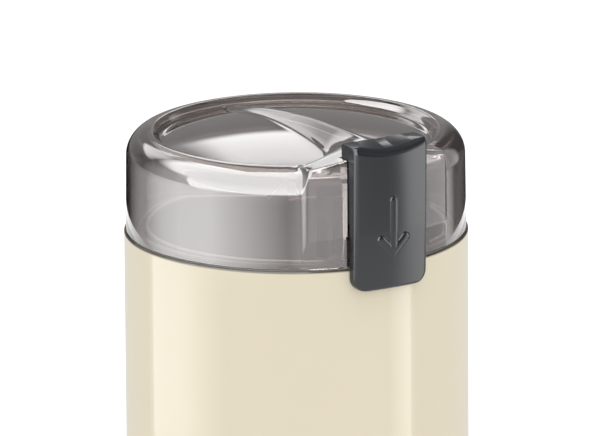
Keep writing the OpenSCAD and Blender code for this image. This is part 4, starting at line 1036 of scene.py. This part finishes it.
def bowl_piece():
    """The steel bowl with its rolled rim, turned from one section."""
    s = sizes("grinder_body")
    bead, wall, corner_r = s["bowl_bead"], s["bowl_wall"], s["bowl_corner"]
    inner = s["bowl_rim"] - 2 * bead
    outer = inner + wall
    seam, under = BOWL_HIGH.z - 2 * bead, BOWL_LOW.z
    floor = under + wall
    corner = (inner - corner_r, floor + corner_r)
    section = (
        [(s["bowl_hole"], under), (corner[0], under)]
        + arc(corner, corner_r + wall, -90, 0, 20)
        + [(outer, seam)]
        + arc((inner + bead, seam + bead), bead, -90, 180, 28)
        + arc(corner, corner_r, 0, -90, 20)
        + [(s["bowl_hole"], floor)]
    )
    bowl = turned("steel_bowl", section, bpy.context.scene.grinder_stage.columns)
    return dressed(bowl, "base", "bowl_steel", finish_for("bowl_steel"), "grinding_bowl")


class GRINDER_OT_bowl(Operator):
    """Build the steel bowl and finish the blade in it"""

    bl_idname = "grinder.bowl"
    bl_label = "Build bowl and blade"

    def execute(self, context):
        bowl_piece()
        restyle("bowl_seal", "blade", "blade_nut")
        return {"FINISHED"}


class GRINDER_OT_motor(Operator):
    """Finish the motor and its mounts"""

    bl_idname = "grinder.motor"
    bl_label = "Finish motor"

    def execute(self, context):
        restyle(
            "motor_shaft", "rotor_core", "rotor_windings", "commutator", "cooling_fan",
            "stator_core", "stator_coils", "upper_bracket", "lower_bracket", "upper_bearing",
            "lower_bearing", "motor_bolts", "motor_mounts", "motor_mount_screws", "brush_holders",
            "carbon_brushes", "brush_springs",
        )
        return {"FINISHED"}


class GRINDER_OT_switch(Operator):
    """Finish the switch, the capacitor and the leads"""

    bl_idname = "grinder.switch"
    bl_label = "Finish switch"

    def execute(self, context):
        coil_piece("coil_under_plunger", "base", "plunger_spring")
        restyle(
            "switch_base", "switch_plunger", "fixed_contact", "moving_contact",
            "suppression_capacitor", "motor_leads",
        )
        return {"FINISHED"}


# ---- Stage ----

AIM = Vector((0, 0, 0.124))
AIM_SHIFT = (1.01 * MM, 2.0 * MM)  # right and up, in the camera's plane
FLOOR_R = 12000.0                  # far past the edges of the picture
FLOOR_GAP = 0.1                    # under the feet


def camera_axes(stage):
    """The directions to the camera, to its right and up."""
    turn, rise = stage.azimuth, stage.elevation
    back = Vector((-math.sin(turn) * math.cos(rise), -math.cos(turn) * math.cos(rise), math.sin(rise)))
    right = Vector((math.cos(turn), -math.sin(turn), 0))
    return back, right, back.cross(right)


def place_camera(stage):
    """The camera at its turn, height and roll, aimed at the middle of the seam."""
    back, right, up = camera_axes(stage)
    data = bpy.data.cameras.new("Camera")
    data.lens, data.sensor_width = stage.focal, 36
    data.clip_start, data.clip_end = 0.1, 50
    camera = bpy.data.objects.new("Camera", data)
    bpy.context.scene.collection.objects.link(camera)
    camera.location = AIM + right * AIM_SHIFT[0] + up * AIM_SHIFT[1] + back * stage.distance
    turn = (-back).to_track_quat("-Z", "Y")
    camera.rotation_mode = "QUATERNION"
    camera.rotation_quaternion = turn @ Quaternion((0, 0, 1), stage.roll)
    bpy.context.scene.camera = camera


def white_room(strength):
    """Even light from all sides, white to the eye, in gloss and through clear plastic."""
    world = bpy.data.worlds.new("White room")
    world.use_nodes = True
    nodes, links = world.node_tree.nodes, world.node_tree.links
    path = nodes.new("ShaderNodeLightPath")
    seen = path.outputs["Is Camera Ray"]
    for kind in ("Is Glossy Ray", "Is Transmission Ray"):
        either = nodes.new("ShaderNodeMath")
        either.operation = "MAXIMUM"
        links.new(seen, either.inputs[0])
        links.new(path.outputs[kind], either.inputs[1])
        seen = either.outputs[0]
    level = nodes.new("ShaderNodeMapRange")
    level.inputs["To Min"].default_value, level.inputs["To Max"].default_value = strength, 1.0
    links.new(seen, level.inputs["Value"])
    nodes["Background"].inputs["Color"].default_value = (1, 1, 1, 1)
    links.new(level.outputs[0], nodes["Background"].inputs["Strength"])
    bpy.context.scene.world = world


def floor_piece():
    """A wide pale floor, white to the eye, that keeps the object's shadow."""
    columns = 96
    floor = new_object("floor", circle(FLOOR_R, columns) - (0, 0, FLOOR_GAP), [tuple(range(columns))])
    finish = Finish("Pale floor")
    diffuse = finish.node("ShaderNodeBsdfDiffuse", {"Color": (0.62, 0.62, 0.62, 1)})
    glow = finish.node("ShaderNodeEmission", {"Color": (1, 1, 1, 1), "Strength": 0.5})
    white = finish.node("ShaderNodeAddShader", {0: diffuse.outputs[0], 1: glow.outputs[0]})
    plain = finish.node("ShaderNodeBsdfDiffuse", {"Color": (0.8, 0.8, 0.8, 1)})
    bounced = finish.node("ShaderNodeLightPath").outputs["Is Diffuse Ray"]
    parts = {0: bounced, 1: white.outputs[0], 2: plain.outputs[0]}
    finish.only(finish.node("ShaderNodeMixShader", parts).outputs[0])
    floor.data.materials.append(finish.material)


def around(angle, height, radius):
    """A point round the object, by its angle from the camera's direction, left positive."""
    turn = -math.pi / 2 - bpy.context.scene.grinder_stage.azimuth - np.radians(angle)
    return np.stack([radius * np.cos(turn), radius * np.sin(turn), height + 0 * turn], -1)


def over_lid(across, behind, height):
    """A point over the lid, right of its axis and behind it as the camera sees it."""
    return around(np.degrees(np.arctan2(-across, -behind)), height, np.hypot(across, behind))


def card(name, points, glow, through=False):
    """A glowing sheet over a grid of points that shows in gloss, or only through clear plastic."""
    sheet = new_object(name, points.reshape(-1, 3), grid_faces(*glow.shape, closed=False))
    layer = sheet.data.color_attributes.new("glow", "FLOAT_COLOR", "POINT")
    layer.data.foreach_set("color", np.repeat(glow.reshape(-1, 1), 4, 1).ravel())
    finish = Finish(name)
    tone = finish.node("ShaderNodeVertexColor", layer_name="glow").outputs["Color"]
    finish.only(finish.node("ShaderNodeEmission", {"Color": tone, "Strength": 1.0}).outputs[0])
    finish.material.cycles.emission_sampling = "NONE"
    sheet.data.materials.append(finish.material)
    sheet.visible_camera = sheet.visible_diffuse = sheet.visible_shadow = False
    sheet.visible_glossy, sheet.visible_transmission = not through, through


def reflector(name, stops, z0, z1, radius=280.0, through=False):
    """An upright curved card beside the object; stops gives its glow at angles round the object."""
    angles = np.arange(stops[0][0], stops[-1][0] + 0.4, 0.5)
    glow = np.interp(angles, *zip(*stops))
    points = np.stack([around(angles, z, radius) for z in (z0, z1)])
    card(name, points, np.stack([glow, glow]), through)


# The cards' glow at angles in degrees round the object, from the camera's direction, left positive.
LEFT_STOPS = (
    (41.7, 1.0), (47, 1.3), (53, 1.9), (58.5, 2.4), (70.6, 3.7), (79, 4.05), (105.3, 3.2),
)
LEFT_EDGE_STOPS = ((105.5, 0.75), (178, 0.75))
RIGHT_STOPS = ((-76.7, 4.2), (-72, 3.6), (-66, 2.6), (-58.7, 1.0))
RIGHT_EDGE_STOPS = ((-178, 0.75), (-77, 0.75))
WALL_STOPS = (
    (-180, 0), (-128, 0.1), (-118, 1.0), (-88, 1.2), (-84, 4.0), (-66, 4.0), (-62, 0.5),
    (-48, 0.8), (-36, 1.4), (-5, 1.5), (5, 0.8), (15, 1.5), (35, 2.8), (55, 4.1), (65, 4.0),
    (85, 3.5), (95, 2.8), (105, 1.8), (115, 0.8), (135, 0.2), (145, 0), (180, 0),
)
BACK_STOPS = ((80, 0.22), (280, 0.22))
LIP_STOPS = ((-180, 0), (66, 0), (76, 2.1), (95, 1.5), (110, 0.6), (122, 0), (180, 0))
# Where the tent's softbox starts, in degrees over level, and over how many it fades in.
SOFTBOX_FOOT = (
    (-180, 84), (-150, 76), (-60, 66), (-12, 52), (-6, -20), (70, -20), (78, 16), (95, 18),
    (115, 22), (135, 36), (155, 52), (180, 64),
)
SOFTBOX_FADE = ((-180, 12), (-12, 10), (60, 8), (95, 12), (115, 22), (140, 26), (180, 12))
WALL_FADE = ((66, 12), (76, 7))  # how far under level the wall card's glow gives way to the tent's
FLAG_GLOW = 0.1


def between(value, low, rise, high, fall):
    """1 between low and high, with a smooth rise from low and a smooth fall to high."""
    return smooth((value - low) / rise) * smooth((high - value) / fall)


def tent_glow(angle, rise):
    """The glow of the light tent, at an angle round the object and a height angle in degrees.

    A softbox fills its upper part. Under it are a lip at the left, a strip behind the object
    that leaves out the part that the lid's rim would show, a faint gap and a strip at the right.
    """
    turn = angle % 360
    foot, fade, lip, wall, start = (
        np.interp(angle, *zip(*stops))
        for stops in (SOFTBOX_FOOT, SOFTBOX_FADE, LIP_STOPS, WALL_STOPS, WALL_FADE)
    )
    above = (5.3 + 1.0 * smooth((30 - rise) / 30)) * smooth((rise - foot) / fade)
    strip = between(turn, 118, 14, 191, 6) * (1 - between(turn, 152, 6, 172, 5))
    behind = 0.04 + 0.2 * between(turn, 120, 20, 200, 10) + 1.9 * strip * between(rise, 20, 3, 50, 14)
    gap = 0.7 * smooth((22 - np.abs(angle + 120)) / 8) * smooth((34 - rise) / 10)
    right = 4.0 * smooth((11 - np.abs(angle + 75)) / 3) * smooth((30 - rise) / 8)
    tent = np.maximum.reduce([above, lip, behind, gap, right])
    return wall + (tent - wall) * smooth((rise + start) / 6)


def light_tent(radius=450.0, middle=140.0):
    """A dome of light round the object, from a little under level up to the top."""
    angle, rise = np.meshgrid(np.linspace(-180, 180, 241), np.linspace(-14, 90, 105))
    up = np.radians(rise)
    points = around(angle, middle + radius * np.sin(up), radius * np.cos(up))
    card("light_tent", points, tent_glow(angle, rise))


def light_cards():
    """The low cards beside the object, the wall over them, the shade behind and the flag on top."""
    reflector("left_card", LEFT_STOPS, 1, 58)
    reflector("left_edge_card", LEFT_EDGE_STOPS, 1, 80, 190)
    reflector("right_card", RIGHT_STOPS, 1, 58)
    reflector("right_edge_card", RIGHT_EDGE_STOPS, 1, 80, 190)
    reflector("wall_card", WALL_STOPS, 59, 84)
    reflector("back_shade", BACK_STOPS, 1, 190, 150, True)
    flag = over_lid(np.array([(-40, 90), (-90, 90)]), np.array([(-22, -22), (90, 90)]), 250)
    card("top_flag", flag, np.full((2, 2), FLAG_GLOW))


def overhead_softbox(watts, height=0.9, aim=0.1, width=0.7):
    """A square area light over the object, in metres."""
    data = bpy.data.lights.new("Overhead softbox", "AREA")
    data.shape, data.size, data.size_y, data.energy = "RECTANGLE", width, width, watts
    light = bpy.data.objects.new("Overhead softbox", data)
    light.location = (0, 0, height)
    light.rotation_mode = "QUATERNION"
    light.rotation_quaternion = Vector((0, 0, aim - height)).to_track_quat("-Z", "Y")
    bpy.context.scene.collection.objects.link(light)


class GRINDER_OT_stage(Operator):
    """Set the camera, the floor and the light"""

    bl_idname = "grinder.stage"
    bl_label = "Set stage"

    def execute(self, context):
        stage = context.scene.grinder_stage
        context.scene.view_settings.view_transform = "Standard"
        place_camera(stage)
        white_room(stage.sky)
        floor_piece()
        overhead_softbox(stage.softbox)
        light_cards()
        light_tent()
        return {"FINISHED"}


# ---- Panel ----

GROUPS = (
    ("grinder_body", BodySizes), ("grinder_lid", LidSizes), ("grinder_button", ButtonSizes),
    ("grinder_colours", Colours), ("grinder_stage", StageSizes),
)
OPERATORS = (
    GRINDER_OT_body, GRINDER_OT_lid, GRINDER_OT_button, GRINDER_OT_bowl, GRINDER_OT_motor,
    GRINDER_OT_switch, GRINDER_OT_stage,
)


class GRINDER_PT_panel(Panel):
    """Lists the grinder's pieces and their sizes"""

    bl_idname = "GRINDER_PT_panel"
    bl_label = "Spice grinder"
    bl_space_type = "VIEW_3D"
    bl_region_type = "UI"
    bl_category = "Grinder"

    def draw(self, context):
        layout = self.layout
        for operator in OPERATORS:
            layout.operator(operator.bl_idname)
        for name, group in GROUPS:
            box = layout.box()
            box.label(text=group.__doc__)
            for key in group.__annotations__:
                box.prop(getattr(context.scene, name), key)


def register():
    """Registers the groups on the scene, the operators and the panel."""
    for name, group in GROUPS:
        bpy.utils.register_class(group)
        setattr(bpy.types.Scene, name, PointerProperty(type=group))
    for kind in OPERATORS + (GRINDER_PT_panel,):
        bpy.utils.register_class(kind)


def unregister():
    """Takes them away again."""
    for kind in (GRINDER_PT_panel,) + OPERATORS[::-1]:
        bpy.utils.unregister_class(kind)
    for name, group in GROUPS[::-1]:
        delattr(bpy.types.Scene, name)
        bpy.utils.unregister_class(group)


def main():
    """Builds every piece and the stage."""
    register()
    bpy.ops.grinder.body()
    bpy.ops.grinder.lid()
    bpy.ops.grinder.button()
    bpy.ops.grinder.bowl()
    bpy.ops.grinder.motor()
    bpy.ops.grinder.switch()
    bpy.ops.grinder.stage()
    bpy.context.view_layer.update()


if __name__ == "__main__":
    main()
